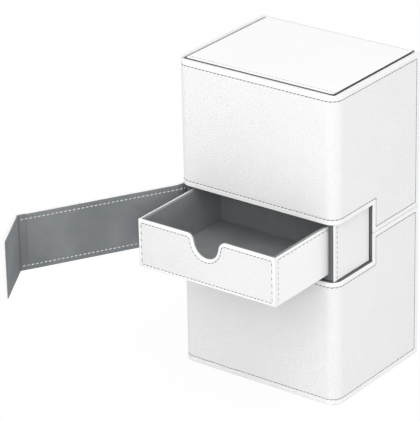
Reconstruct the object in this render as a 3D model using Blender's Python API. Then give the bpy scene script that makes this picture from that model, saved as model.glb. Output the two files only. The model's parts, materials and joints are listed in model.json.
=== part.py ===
"""Deck case: two lidded card compartments with a drawer between them, held shut by a wrap-round flap.

Lengths are in metres. X runs along the front, -Y is the front, +Z is up, and the origin is the centre of the
footprint on the surface that the case stands on. The case is shown as in use: the lids are shut, the drawer is
pulled out, and the flap is swung open.
"""
import math

import bmesh
import bpy
from mathutils import Matrix, Vector

# Driving dimensions of the case
WIDTH = 0.105
DEPTH = 0.0813
HEIGHT = 0.1826
BAY_HEIGHT = 0.0342
SIDE_NOTCH_LENGTH = 0.0361
CORNER_RADIUS = 0.007

# Clearances
GLUE_GAP = 0.0003
SEAM_GAP = 0.0003
LID_SIDE_GAP = 0.0009
FLAP_EDGE_GAP = 0.0003
DRAWER_END_GAP = 0.0003
DRAWER_FLOOR_GAP = 0.0003
DRAWER_SIDE_GAP = 0.0009
DRAWER_TOP_GAP = 0.0006
POCKET_GAP = 0.0003
CUT_OVERRUN = 0.002

# Sheet thicknesses
COVER_SKIN = 0.0008
COVER_BOARD = 0.0012
BOX_BOARD = 0.0016
BOX_LINING = 0.0006
LID_SKIN = 0.0006
LID_BOARD = 0.0011
LID_LINING = 0.0003
SLEEVE_SIDE_BOARD = 0.0021
SLEEVE_FLOOR_BOARD = 0.0021
SLEEVE_ROOF_BOARD = 0.0016
SLEEVE_REAR_BOARD = 0.0018
SLEEVE_LINING = 0.0004
SEAT_SKIN = 0.0008
DRAWER_SKIN = 0.0004
DRAWER_BOARD = 0.0011
DRAWER_LINING = 0.0003
FLAP_SKIN = 0.0005
FLAP_BOARD = 0.0008
FLAP_LINING = 0.0004
FOLD_THICKNESS = 0.0012
LID_FOLD_THICKNESS = 0.0008

# The drawer as it stands in use, and its thumb notch
DRAWER_PULL = 0.0489
THUMB_DEPTH = 0.0123
THUMB_FLOOR_RADIUS = 0.0083
THUMB_SHOULDER_RADIUS = 0.0042
THUMB_SLOPE = math.radians(14)

# The flap as it stands in use
FLAP_OPENING = math.radians(119.9)
FLAP_AXIS_X_INSET = 0.002
FLAP_AXIS_Y_INSET = 0.0019
TAB_BEND = math.radians(59)
TAB_FOLD_RADIUS = 0.0095
TAB_FOLD_LEAD = 0.0032
TAB_END_GAP = 0.002
FOLD_END_GAP = 0.0003

# Magnets and their steel keepers
TAB_MAGNET_RADIUS = 0.005
TAB_MAGNET_INSET = 0.011
TAB_KEEPER_THICKNESS = 0.0008
LID_MAGNET_LENGTH = 0.012
LID_MAGNET_WIDTH = 0.004
LID_MAGNET_SPACING = 0.03
LID_MAGNET_SETBACK = 0.004
KEEPER_LENGTH = 0.046
KEEPER_HEIGHT = 0.006
KEEPER_SETBACK = 0.0045

# Smoothness of the curves
CORNER_STEPS = 7
THUMB_STEPS = 9
DISC_STEPS = 28
FOLD_STEPS = 9

# Places worked out from the sizes
HALF_WIDTH = WIDTH / 2
FRONT = -DEPTH / 2
REAR = DEPTH / 2
COVER_WALL = COVER_SKIN + GLUE_GAP + COVER_BOARD + GLUE_GAP / 3
LID_PLATE = LID_SKIN + LID_BOARD + LID_LINING + 2 * GLUE_GAP
BAY_FLOOR = (HEIGHT - BAY_HEIGHT) / 2
BAY_ROOF = (HEIGHT + BAY_HEIGHT) / 2
NOTCH_REAR = FRONT + SIDE_NOTCH_LENGTH
BOX_HALF_WIDTH = HALF_WIDTH - COVER_WALL - GLUE_GAP
BOX_FRONT = FRONT + COVER_WALL + GLUE_GAP
BOX_REAR = REAR - COVER_WALL - GLUE_GAP
BOX_TOP = HEIGHT - LID_PLATE - GLUE_GAP
BOX_CORNER = CORNER_RADIUS - COVER_WALL - GLUE_GAP
LINING_INSET = BOX_BOARD + GLUE_GAP
LID_HALF_WIDTH = HALF_WIDTH - COVER_WALL - LID_SIDE_GAP
LID_FRONT = FRONT + COVER_WALL + LID_SIDE_GAP
LID_CORNER = CORNER_RADIUS - COVER_WALL - LID_SIDE_GAP
LID_REAR = REAR - LID_FOLD_THICKNESS - GLUE_GAP

SLEEVE_BASE = BAY_FLOOR + GLUE_GAP
SLEEVE_TOP = BAY_ROOF - GLUE_GAP
SLEEVE_FRONT = FRONT + COVER_WALL
SLEEVE_REAR = BOX_REAR
SLEEVE_HALF_WIDTH = HALF_WIDTH - COVER_WALL - SEAT_SKIN - GLUE_GAP
SLEEVE_LINING_BASE = SLEEVE_BASE + SLEEVE_FLOOR_BOARD + GLUE_GAP
DRAWER_HALF_WIDTH = SLEEVE_HALF_WIDTH - SLEEVE_SIDE_BOARD - GLUE_GAP - SLEEVE_LINING - DRAWER_SIDE_GAP
DRAWER_BASE = SLEEVE_LINING_BASE + SLEEVE_LINING + DRAWER_FLOOR_GAP
DRAWER_TOP = SLEEVE_TOP - SLEEVE_ROOF_BOARD - DRAWER_TOP_GAP
DRAWER_FRONT = SLEEVE_FRONT + DRAWER_END_GAP
DRAWER_REAR = SLEEVE_REAR - SLEEVE_REAR_BOARD - DRAWER_END_GAP

FLAP_THICKNESS = FLAP_SKIN + FLAP_BOARD + FLAP_LINING + 2 * GLUE_GAP
FLAP_LOW = BAY_FLOOR + FLAP_EDGE_GAP
FLAP_HIGH = BAY_ROOF - FLAP_EDGE_GAP
FLAP_START = -HALF_WIDTH + CORNER_RADIUS
FLAP_END = HALF_WIDTH - CORNER_RADIUS - TAB_FOLD_LEAD
FLAP_CENTRE = FRONT + FLAP_THICKNESS / 2
FLAP_AXIS = Vector((-HALF_WIDTH + FLAP_AXIS_X_INSET, FRONT + FLAP_AXIS_Y_INSET, 0))
TAB_FOLD_LENGTH = TAB_FOLD_RADIUS * TAB_BEND
SHUT_CORNER_LENGTH = (CORNER_RADIUS - FLAP_THICKNESS / 2) * math.pi / 2
TAB_LENGTH = (
    TAB_FOLD_LEAD + SHUT_CORNER_LENGTH + SIDE_NOTCH_LENGTH - CORNER_RADIUS - TAB_FOLD_LENGTH - TAB_END_GAP
)


def make_material(name, colour, roughness, metallic=0.0):
    """A Principled material of one finish."""
    material = bpy.data.materials.new(name)
    material.use_nodes = True
    shader = material.node_tree.nodes["Principled BSDF"]
    shader.inputs["Base Color"].default_value = (*colour, 1.0)
    shader.inputs["Roughness"].default_value = roughness
    shader.inputs["Metallic"].default_value = metallic
    return material


def make_object(name, mesh_builder, material):
    """Closes a bmesh into a named object with outward normals and one material."""
    bmesh.ops.recalc_face_normals(mesh_builder, faces=mesh_builder.faces)
    mesh = bpy.data.meshes.new(name)
    mesh_builder.to_mesh(mesh)
    mesh_builder.free()
    mesh.materials.append(material)
    obj = bpy.data.objects.new(name, mesh)
    bpy.context.collection.objects.link(obj)
    return obj


def make_empty(name, place, turn=0.0):
    """An empty that carries the pieces which move together."""
    empty = bpy.data.objects.new(name, None)
    empty.location = place
    empty.rotation_euler = (0, 0, turn)
    bpy.context.collection.objects.link(empty)
    return empty


def attach(obj, empty, pivot):
    """Hangs a piece, modelled in its shut place, on an empty that stands for the pivot."""
    obj.data.transform(Matrix.Translation(-Vector(pivot)))
    obj.parent = empty
    return obj


def cut(obj, *cutters):
    """Subtracts hidden cutters from a piece."""
    for cutter in cutters:
        cutter.hide_render = True
        cutter.display_type = "WIRE"
        modifier = obj.modifiers.new("cut_" + cutter.name, "BOOLEAN")
        modifier.operation = "DIFFERENCE"
        modifier.solver = "EXACT"
        modifier.object = cutter
    return obj


def block(name, low, high, material=None):
    """A rectangular sheet or bar between two corners."""
    shape = bmesh.new()
    size = Vector(high) - Vector(low)
    middle = (Vector(high) + Vector(low)) / 2
    bmesh.ops.create_cube(shape, size=1, matrix=Matrix.Translation(middle) @ Matrix.Diagonal((*size, 1)))
    return make_object(name, shape, material)


def arc(centre, radius, start, end, steps):
    """Points along an arc, both ends included."""
    return [
        Vector(
            (
                centre[0] + radius * math.cos(start + (end - start) * step / steps),
                centre[1] + radius * math.sin(start + (end - start) * step / steps),
            )
        )
        for step in range(steps + 1)
    ]


def front_rounded_outline(half_width, front, rear, radius):
    """Plan of a sheet or box whose two front corners are round and whose rear corners are square."""
    right_centre = (half_width - radius, front + radius)
    left_centre = (-half_width + radius, front + radius)
    left = arc(left_centre, radius, math.pi, 1.5 * math.pi, CORNER_STEPS)
    right = arc(right_centre, radius, 1.5 * math.pi, 2 * math.pi, CORNER_STEPS)
    return [Vector((-half_width, rear)), *left, *right, Vector((half_width, rear))]


def prism(name, outline, low, high, material, across="Z"):
    """An outline made a solid between two levels; across Y the outline is a front view in X and Z."""
    shape = bmesh.new()
    if across == "Z":
        bottom = [shape.verts.new((p.x, p.y, low)) for p in outline]
        shift = (0, 0, high - low)
    else:
        bottom = [shape.verts.new((p.x, low, p.y)) for p in outline]
        shift = (0, high - low, 0)
    face = shape.faces.new(bottom)
    raised = bmesh.ops.extrude_face_region(shape, geom=[face])["geom"]
    moved = [item for item in raised if isinstance(item, bmesh.types.BMVert)]
    bmesh.ops.translate(shape, verts=moved, vec=shift)
    return make_object(name, shape, material)


def open_box(name, outline_at, wall, base, floor_thickness, rim, material):
    """A box with a floor and no lid; outline_at(inset) gives its plan, and it opens towards the rim."""
    shape = bmesh.new()
    towards_rim = 1 if rim > base else -1
    floor_level = base + towards_rim * floor_thickness

    def loop(inset, level):
        return [shape.verts.new((p.x, p.y, level)) for p in outline_at(inset)]

    def bridge(first, second):
        for index in range(len(first)):
            following = (index + 1) % len(first)
            shape.faces.new((first[index], first[following], second[following], second[index]))

    outer_base, outer_rim = loop(0, base), loop(0, rim)
    inner_rim, inner_floor = loop(wall, rim), loop(wall, floor_level)
    shape.faces.new(outer_base)
    shape.faces.new(inner_floor)
    bridge(outer_base, outer_rim)
    bridge(outer_rim, inner_rim)
    bridge(inner_rim, inner_floor)
    return make_object(name, shape, material)


def disc(name, centre, radius, thickness, axis, material):
    """A round plate; its axis is a world axis letter and its centre is its middle."""
    turn = {"X": Matrix.Rotation(math.pi / 2, 4, "Y"), "Y": Matrix.Rotation(math.pi / 2, 4, "X"), "Z": Matrix()}
    shape = bmesh.new()
    bmesh.ops.create_cone(
        shape, cap_ends=True, segments=DISC_STEPS, radius1=radius, radius2=radius, depth=thickness,
        matrix=Matrix.Translation(centre) @ turn[axis],
    )
    return make_object(name, shape, material)


def bent_strip(name, start, start_heading, end, end_heading, thickness, low, high, material):
    """A strip on edge whose middle line runs smoothly from one end and heading to the other."""
    start, end = Vector(start), Vector(end)
    reach = (end - start).length
    leave = Vector((math.cos(start_heading), math.sin(start_heading))) * reach
    arrive = Vector((math.cos(end_heading), math.sin(end_heading))) * reach
    near, far = [], []
    for step in range(FOLD_STEPS + 1):
        t = step / FOLD_STEPS
        point = (
            start * (2 * t**3 - 3 * t**2 + 1) + leave * (t**3 - 2 * t**2 + t)
            + end * (3 * t**2 - 2 * t**3) + arrive * (t**3 - t**2)
        )
        slope = (
            start * (6 * t**2 - 6 * t) + leave * (3 * t**2 - 4 * t + 1)
            + end * (6 * t - 6 * t**2) + arrive * (3 * t**2 - 2 * t)
        ).normalized()
        side = Vector((-slope.y, slope.x)) * thickness / 2
        near.append(point + side)
        far.append(point - side)
    return prism(name, near + far[::-1], low, high, material)


def cover_outline(inset, thickness, rear):
    """Plan of a cover that wraps the front and both sides, at an inset from the outer face."""
    outer = front_rounded_outline(HALF_WIDTH - inset, FRONT + inset, rear, CORNER_RADIUS - inset)
    deep = inset + thickness
    inner = front_rounded_outline(HALF_WIDTH - deep, FRONT + deep, rear, CORNER_RADIUS - deep)
    return outer + inner[::-1]


def build_cover(prefix, upper, skin_finish, board_finish):
    """One cover's outer skin and stiff board: front and sides, and tails that reach the seam behind the notches."""
    if upper:
        low, high = (BAY_FLOOR + BAY_ROOF + SEAM_GAP) / 2, HEIGHT
        notch_low, notch_high = low - CUT_OVERRUN, BAY_ROOF
    else:
        low, high = 0, (BAY_FLOOR + BAY_ROOF - SEAM_GAP) / 2
        notch_low, notch_high = BAY_FLOOR, high + CUT_OVERRUN
    notch = block(
        prefix + "_notch_cutter",
        (-HALF_WIDTH - CUT_OVERRUN, FRONT - CUT_OVERRUN, notch_low),
        (HALF_WIDTH + CUT_OVERRUN, NOTCH_REAR, notch_high),
    )
    skin = prism(prefix + "_cover_skin", cover_outline(0, COVER_SKIN, REAR), low, high, skin_finish)
    cut(skin, notch)
    board_inset = COVER_SKIN + GLUE_GAP
    board = prism(prefix + "_cover_board", cover_outline(board_inset, COVER_BOARD, REAR), low, high, board_finish)
    keeper_low = HEIGHT - KEEPER_SETBACK - KEEPER_HEIGHT if upper else KEEPER_SETBACK
    window = block(
        prefix + "_keeper_window_cutter",
        (-KEEPER_LENGTH / 2 - POCKET_GAP, FRONT, keeper_low - POCKET_GAP),
        (KEEPER_LENGTH / 2 + POCKET_GAP, BOX_FRONT, keeper_low + KEEPER_HEIGHT + POCKET_GAP),
    )
    cut(board, notch, window)
    return keeper_low


def build_keeper(name, keeper_low, finish):
    """The steel strip, let into a cover's board behind the front skin, that holds a lid's magnets."""
    front = FRONT + COVER_SKIN + GLUE_GAP
    return block(
        name, (-KEEPER_LENGTH / 2, front, keeper_low),
        (KEEPER_LENGTH / 2, front + COVER_BOARD, keeper_low + KEEPER_HEIGHT), finish,
    )


def box_plan(inset):
    """Plan of a card box at an inset from its outer face."""
    return front_rounded_outline(
        BOX_HALF_WIDTH - inset, BOX_FRONT + inset, BOX_REAR - inset, BOX_CORNER - inset
    )


def build_card_box(prefix, base, rim, board_finish, lining_finish):
    """A card compartment's stiff box and the soft lining inside it; it opens towards its rim."""
    opens = 1 if rim > base else -1
    open_box(prefix + "_card_box", box_plan, BOX_BOARD, base, BOX_BOARD, rim, board_finish)
    open_box(
        prefix + "_card_lining", lambda inset: box_plan(LINING_INSET + inset), BOX_LINING,
        base + opens * LINING_INSET, BOX_LINING, rim - opens * GLUE_GAP, lining_finish,
    )


def build_lid(prefix, outer_level, inward, empty, finishes):
    """A lid's skin, board, lining and magnets, carried by the empty on its hinge axis."""
    pivot = (0, REAR, outer_level)
    plan = front_rounded_outline(LID_HALF_WIDTH, LID_FRONT, LID_REAR, LID_CORNER)
    layers = (
        ("_skin", 0, LID_SKIN, finishes["smooth"]),
        ("_board", LID_SKIN + GLUE_GAP, LID_BOARD, finishes["board"]),
        ("_lining", LID_SKIN + LID_BOARD + 2 * GLUE_GAP, LID_LINING, finishes["lining"]),
    )
    for suffix, depth, thickness, finish in layers:
        near = outer_level + inward * depth
        far = near + inward * thickness
        sheet = attach(prism(prefix + suffix, plan, min(near, far), max(near, far), finish), empty, pivot)
        if suffix == "_board":
            board, board_low, board_high = sheet, min(near, far), max(near, far)
    magnet_front = LID_FRONT + LID_MAGNET_SETBACK
    for side, label in ((-1, "left"), (1, "right")):
        middle = side * LID_MAGNET_SPACING / 2
        low = Vector((middle - LID_MAGNET_LENGTH / 2, magnet_front, board_low))
        high = Vector((middle + LID_MAGNET_LENGTH / 2, magnet_front + LID_MAGNET_WIDTH, board_high))
        magnet = block(f"{prefix}_magnet_{label}", low, high, finishes["steel"])
        attach(magnet, empty, pivot)
        room = Vector((POCKET_GAP, POCKET_GAP, CUT_OVERRUN))
        pocket = block(f"{prefix}_pocket_cutter_{label}", low - room, high + room)
        cut(board, attach(pocket, empty, pivot))


def build_lid_fold(name, outer_level, inward, finish):
    """The strip of skin at the rear corner that bends when a lid opens."""
    far = outer_level + inward * LID_PLATE
    return block(
        name, (-LID_HALF_WIDTH, REAR - LID_FOLD_THICKNESS, min(outer_level, far)),
        (LID_HALF_WIDTH, REAR, max(outer_level, far)), finish,
    )


def build_spine(skin_finish, board_finish):
    """The back panel between the two lids."""
    low, high = LID_PLATE + GLUE_GAP, HEIGHT - LID_PLATE - GLUE_GAP
    block("spine_skin", (-LID_HALF_WIDTH, REAR - COVER_SKIN, low), (LID_HALF_WIDTH, REAR, high), skin_finish)
    board_rear = REAR - COVER_SKIN - GLUE_GAP
    block(
        "spine_board", (-LID_HALF_WIDTH, board_rear - COVER_BOARD, low), (LID_HALF_WIDTH, board_rear, high),
        board_finish,
    )


def build_sleeve(finishes):
    """The sleeve that the drawer runs in, its lining, and the seat and keeper for the flap's tab."""
    sleeve = block(
        "drawer_sleeve", (-SLEEVE_HALF_WIDTH, SLEEVE_FRONT, SLEEVE_BASE),
        (SLEEVE_HALF_WIDTH, SLEEVE_REAR, SLEEVE_TOP), finishes["lining_wrap"],
    )
    hollow = block(
        "sleeve_hollow_cutter",
        (-SLEEVE_HALF_WIDTH + SLEEVE_SIDE_BOARD, SLEEVE_FRONT - CUT_OVERRUN, SLEEVE_BASE + SLEEVE_FLOOR_BOARD),
        (SLEEVE_HALF_WIDTH - SLEEVE_SIDE_BOARD, SLEEVE_REAR - SLEEVE_REAR_BOARD, SLEEVE_TOP - SLEEVE_ROOF_BOARD),
    )
    lining_outer = SLEEVE_HALF_WIDTH - SLEEVE_SIDE_BOARD - GLUE_GAP
    lining_inner = lining_outer - SLEEVE_LINING
    lining_top = SLEEVE_TOP - SLEEVE_ROOF_BOARD - GLUE_GAP
    lining_floor = SLEEVE_LINING_BASE + SLEEVE_LINING
    channel = [
        (-lining_outer, SLEEVE_LINING_BASE), (lining_outer, SLEEVE_LINING_BASE), (lining_outer, lining_top),
        (lining_inner, lining_top), (lining_inner, lining_floor), (-lining_inner, lining_floor),
        (-lining_inner, lining_top), (-lining_outer, lining_top),
    ]
    prism(
        "sleeve_lining", [Vector(p) for p in channel], SLEEVE_FRONT,
        SLEEVE_REAR - SLEEVE_REAR_BOARD - GLUE_GAP, finishes["lining"], across="Y",
    )
    seat_inner = SLEEVE_HALF_WIDTH + GLUE_GAP
    block(
        "tab_seat_skin", (seat_inner, SLEEVE_FRONT, FLAP_LOW),
        (seat_inner + SEAT_SKIN, NOTCH_REAR - GLUE_GAP, FLAP_HIGH), finishes["smooth"],
    )
    keeper_place = Vector((
        SLEEVE_HALF_WIDTH - TAB_KEEPER_THICKNESS / 2,
        NOTCH_REAR - TAB_END_GAP - TAB_MAGNET_INSET, (BAY_FLOOR + BAY_ROOF) / 2,
    ))
    disc("tab_keeper", keeper_place, TAB_MAGNET_RADIUS, TAB_KEEPER_THICKNESS, "X", finishes["steel"])
    pocket_depth = TAB_KEEPER_THICKNESS + POCKET_GAP
    pocket = disc(
        "keeper_pocket_cutter",
        keeper_place + Vector((SLEEVE_HALF_WIDTH - keeper_place.x + (CUT_OVERRUN - pocket_depth) / 2, 0, 0)),
        TAB_MAGNET_RADIUS + POCKET_GAP, pocket_depth + CUT_OVERRUN, "X", None,
    )
    cut(sleeve, hollow, pocket)


def thumb_outline(top):
    """Front view of the thumb notch: a round floor, sloping sides and rolled shoulders, open above the rim."""
    reach = THUMB_FLOOR_RADIUS + THUMB_SHOULDER_RADIUS
    floor_centre = (0, top - THUMB_DEPTH + THUMB_FLOOR_RADIUS)
    rise = top - THUMB_SHOULDER_RADIUS - floor_centre[1] + reach * math.sin(THUMB_SLOPE)
    shoulder_x = reach * math.cos(THUMB_SLOPE) + rise * math.tan(THUMB_SLOPE)
    shoulder_z = top - THUMB_SHOULDER_RADIUS
    left = arc((-shoulder_x, shoulder_z), THUMB_SHOULDER_RADIUS, math.pi / 2, THUMB_SLOPE, THUMB_STEPS)
    floor = arc(
        floor_centre, THUMB_FLOOR_RADIUS, math.pi + THUMB_SLOPE, 2 * math.pi - THUMB_SLOPE, 2 * THUMB_STEPS
    )
    right = arc(
        (shoulder_x, shoulder_z), THUMB_SHOULDER_RADIUS, math.pi - THUMB_SLOPE, math.pi / 2, THUMB_STEPS
    )
    above = top + CUT_OVERRUN
    return [Vector((-shoulder_x, above)), *left, *floor, *right, Vector((shoulder_x, above))]


def drawer_plan(inset):
    """Plan of the drawer's box at an inset from its outer face, in its shut place."""
    low_x, high_x = -DRAWER_HALF_WIDTH + inset, DRAWER_HALF_WIDTH - inset
    low_y, high_y = DRAWER_FRONT + inset, DRAWER_REAR - inset
    return [Vector(p) for p in ((low_x, low_y), (high_x, low_y), (high_x, high_y), (low_x, high_y))]


def build_drawer(finishes):
    """The drawer: a stiff tray, a skin on each outer face, and a lining, all cut by the thumb notch in front."""
    pivot = (0, 0, 0)
    runner = make_empty("drawer_runner", (0, -DRAWER_PULL, 0))
    board_inset = DRAWER_SKIN + GLUE_GAP
    lining_inset = board_inset + DRAWER_BOARD + GLUE_GAP
    notch = prism(
        "thumb_notch_cutter", thumb_outline(DRAWER_TOP), DRAWER_FRONT - CUT_OVERRUN,
        DRAWER_FRONT + lining_inset + DRAWER_LINING + CUT_OVERRUN, None, across="Y",
    )
    attach(notch, runner, pivot)
    tray = open_box(
        "drawer_tray", lambda inset: drawer_plan(board_inset + inset), DRAWER_BOARD,
        DRAWER_BASE, DRAWER_BOARD, DRAWER_TOP, finishes["board"],
    )
    lining_base = DRAWER_BASE + DRAWER_BOARD + GLUE_GAP
    lining = open_box(
        "drawer_lining", lambda inset: drawer_plan(lining_inset + inset), DRAWER_LINING,
        lining_base, DRAWER_LINING, DRAWER_TOP, finishes["lining"],
    )
    inner_x = DRAWER_HALF_WIDTH - DRAWER_SKIN
    side_front, side_rear = DRAWER_FRONT + board_inset, DRAWER_REAR - board_inset
    front_skin = block(
        "drawer_front_skin", (-DRAWER_HALF_WIDTH, DRAWER_FRONT, DRAWER_BASE),
        (DRAWER_HALF_WIDTH, DRAWER_FRONT + DRAWER_SKIN, DRAWER_TOP), finishes["ribbed"],
    )
    back_skin = block(
        "drawer_back_skin", (-DRAWER_HALF_WIDTH, DRAWER_REAR - DRAWER_SKIN, DRAWER_BASE),
        (DRAWER_HALF_WIDTH, DRAWER_REAR, DRAWER_TOP), finishes["smooth"],
    )
    left_skin = block(
        "drawer_left_skin", (-DRAWER_HALF_WIDTH, side_front, DRAWER_BASE), (-inner_x, side_rear, DRAWER_TOP),
        finishes["smooth"],
    )
    right_skin = block(
        "drawer_right_skin", (inner_x, side_front, DRAWER_BASE), (DRAWER_HALF_WIDTH, side_rear, DRAWER_TOP),
        finishes["smooth"],
    )
    for piece in (tray, lining, front_skin, back_skin, left_skin, right_skin):
        attach(piece, runner, pivot)
    for piece in (tray, lining, front_skin):
        cut(piece, notch)


def build_anchor(finishes):
    """The fixed end of the flap's strip, glued into the notch on the left side."""
    outer, skin_inner = -HALF_WIDTH, -HALF_WIDTH + FLAP_SKIN
    front, rear = FRONT + CORNER_RADIUS, NOTCH_REAR - GLUE_GAP
    block("flap_anchor_skin", (outer, front, FLAP_LOW), (skin_inner, rear, FLAP_HIGH), finishes["ribbed"])
    block(
        "flap_anchor_board", (skin_inner + GLUE_GAP, front, FLAP_LOW),
        (-SLEEVE_HALF_WIDTH - GLUE_GAP, rear, FLAP_HIGH), finishes["board"],
    )


def swing(point, about, angle):
    """A plan point turned about another."""
    return Vector(about).to_2d() + Matrix.Rotation(angle, 2) @ (Vector(point).to_2d() - Vector(about).to_2d())


def build_flap(finishes):
    """The flap, its folding tab, and the soft folds at both ends of the flap's panel."""
    hinge = make_empty("flap_hinge_axis", FLAP_AXIS, -FLAP_OPENING)
    layers = (
        ("skin", 0, FLAP_SKIN, finishes["ribbed"]),
        ("board", FLAP_SKIN + GLUE_GAP, FLAP_BOARD, finishes["board"]),
        ("lining", FLAP_SKIN + FLAP_BOARD + 2 * GLUE_GAP, FLAP_LINING, finishes["lining"]),
    )
    for name, depth, thickness, finish in layers:
        panel = block(
            "flap_" + name, (FLAP_START, FRONT + depth, FLAP_LOW),
            (FLAP_END, FRONT + depth + thickness, FLAP_HIGH), finish,
        )
        attach(panel, hinge, FLAP_AXIS)

    corner_start = (-HALF_WIDTH + FLAP_THICKNESS / 2, FRONT + CORNER_RADIUS - FOLD_END_GAP)
    panel_start = swing((FLAP_START - FOLD_END_GAP, FLAP_CENTRE), FLAP_AXIS, -FLAP_OPENING)
    bent_strip(
        "flap_corner_fold", corner_start, -math.pi / 2, panel_start, -FLAP_OPENING, FOLD_THICKNESS,
        FLAP_LOW, FLAP_HIGH, finishes["ribbed"],
    )

    # The tab is modelled straight on from the panel, turned by its bend about the fold's own middle.
    fold_middle = Vector((FLAP_END + TAB_FOLD_RADIUS * math.tan(TAB_BEND / 2), FLAP_CENTRE, 0))
    tab_empty = make_empty("tab_fold_axis", fold_middle - FLAP_AXIS, TAB_BEND)
    tab_empty.parent = hinge
    tab_start = fold_middle.x + TAB_FOLD_RADIUS * math.tan(TAB_BEND / 2)
    tab_end = tab_start + TAB_LENGTH
    magnet_place = Vector((
        tab_end - TAB_MAGNET_INSET, FRONT + FLAP_SKIN + GLUE_GAP + FLAP_BOARD / 2, (BAY_FLOOR + BAY_ROOF) / 2
    ))
    for name, depth, thickness, finish in layers:
        sheet = block(
            "tab_" + name, (tab_start, FRONT + depth, FLAP_LOW), (tab_end, FRONT + depth + thickness, FLAP_HIGH),
            finish,
        )
        attach(sheet, tab_empty, fold_middle)
        if name == "board":
            pocket = disc(
                "tab_pocket_cutter", magnet_place, TAB_MAGNET_RADIUS + POCKET_GAP, FLAP_BOARD + CUT_OVERRUN, "Y", None
            )
            cut(sheet, attach(pocket, tab_empty, fold_middle))
    magnet = disc("tab_magnet", magnet_place, TAB_MAGNET_RADIUS, FLAP_BOARD, "Y", finishes["steel"])
    attach(magnet, tab_empty, fold_middle)
    tab_first = swing((tab_start - FOLD_END_GAP, FLAP_CENTRE), fold_middle, TAB_BEND)
    fold = bent_strip(
        "tab_fold_strip", (FLAP_END + FOLD_END_GAP, FLAP_CENTRE), 0, tab_first, TAB_BEND, FOLD_THICKNESS,
        FLAP_LOW, FLAP_HIGH, finishes["ribbed"],
    )
    attach(fold, hinge, FLAP_AXIS)


def main():
    """Builds the whole case."""
    for obj in list(bpy.data.objects):
        bpy.data.objects.remove(obj, do_unlink=True)
    finishes = {
        "ribbed": make_material("white_ribbed_leatherette", (0.86, 0.86, 0.85), 0.55),
        "smooth": make_material("white_smooth_leatherette", (0.88, 0.88, 0.87), 0.45),
        "board": make_material("charcoal_board", (0.09, 0.095, 0.10), 0.8),
        "lining": make_material("grey_microfibre", (0.17, 0.18, 0.18), 0.95),
        "lining_wrap": make_material("grey_wrapped_board", (0.15, 0.16, 0.16), 0.9),
        "steel": make_material("nickel_plated_steel", (0.62, 0.62, 0.60), 0.35, 1.0),
    }
    upper_keeper = build_cover("upper", True, finishes["ribbed"], finishes["board"])
    lower_keeper = build_cover("lower", False, finishes["ribbed"], finishes["board"])
    build_keeper("upper_lid_keeper", upper_keeper, finishes["steel"])
    build_keeper("lower_lid_keeper", lower_keeper, finishes["steel"])
    build_card_box("upper", BAY_ROOF, BOX_TOP, finishes["board"], finishes["lining"])
    build_card_box("lower", BAY_FLOOR, HEIGHT - BOX_TOP, finishes["board"], finishes["lining"])
    build_spine(finishes["smooth"], finishes["board"])
    build_lid_fold("top_lid_fold", HEIGHT, -1, finishes["smooth"])
    build_lid_fold("bottom_lid_fold", 0, 1, finishes["smooth"])
    build_lid("top_lid", HEIGHT, -1, make_empty("top_lid_hinge_axis", (0, REAR, HEIGHT)), finishes)
    build_lid("bottom_lid", 0, 1, make_empty("bottom_lid_hinge_axis", (0, REAR, 0)), finishes)
    build_sleeve(finishes)
    build_drawer(finishes)
    build_anchor(finishes)
    build_flap(finishes)


main()
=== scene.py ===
"""Looks of the deck case: finished panels, folds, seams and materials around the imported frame.

Lengths are in metres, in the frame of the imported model: X along the front, -Y the front, +Z up.
"""
from __future__ import annotations

import json
import logging
import math
from contextlib import contextmanager
from dataclasses import dataclass
from enum import Enum
from typing import Any, Callable, Iterator, Sequence

import bmesh
import bpy
from mathutils import Matrix, Vector

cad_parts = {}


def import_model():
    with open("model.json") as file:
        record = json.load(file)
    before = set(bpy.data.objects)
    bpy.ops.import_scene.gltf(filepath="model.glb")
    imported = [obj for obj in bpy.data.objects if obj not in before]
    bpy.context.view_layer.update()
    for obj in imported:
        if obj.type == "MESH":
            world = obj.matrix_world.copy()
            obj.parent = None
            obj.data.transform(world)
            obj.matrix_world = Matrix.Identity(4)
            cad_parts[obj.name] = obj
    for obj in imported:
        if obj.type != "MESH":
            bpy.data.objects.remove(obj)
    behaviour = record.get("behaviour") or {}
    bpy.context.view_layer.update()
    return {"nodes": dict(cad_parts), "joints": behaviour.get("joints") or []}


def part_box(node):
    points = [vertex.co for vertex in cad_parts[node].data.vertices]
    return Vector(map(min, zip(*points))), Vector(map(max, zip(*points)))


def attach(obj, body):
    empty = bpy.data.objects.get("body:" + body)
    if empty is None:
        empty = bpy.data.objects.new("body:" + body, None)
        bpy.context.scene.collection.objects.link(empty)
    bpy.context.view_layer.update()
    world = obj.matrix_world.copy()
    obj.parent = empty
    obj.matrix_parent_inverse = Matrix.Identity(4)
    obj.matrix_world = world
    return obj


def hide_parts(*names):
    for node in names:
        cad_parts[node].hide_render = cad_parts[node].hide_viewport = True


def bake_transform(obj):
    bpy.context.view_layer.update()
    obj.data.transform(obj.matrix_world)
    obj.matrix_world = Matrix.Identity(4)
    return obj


LOG = logging.getLogger("deck_case")
EPS = 1e-5

Colour = tuple[float, float, float]
Plan = tuple[float, float]
Patch = tuple["Finish", Callable[[bpy.types.MeshPolygon], bool]]


# Shader maths


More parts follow.
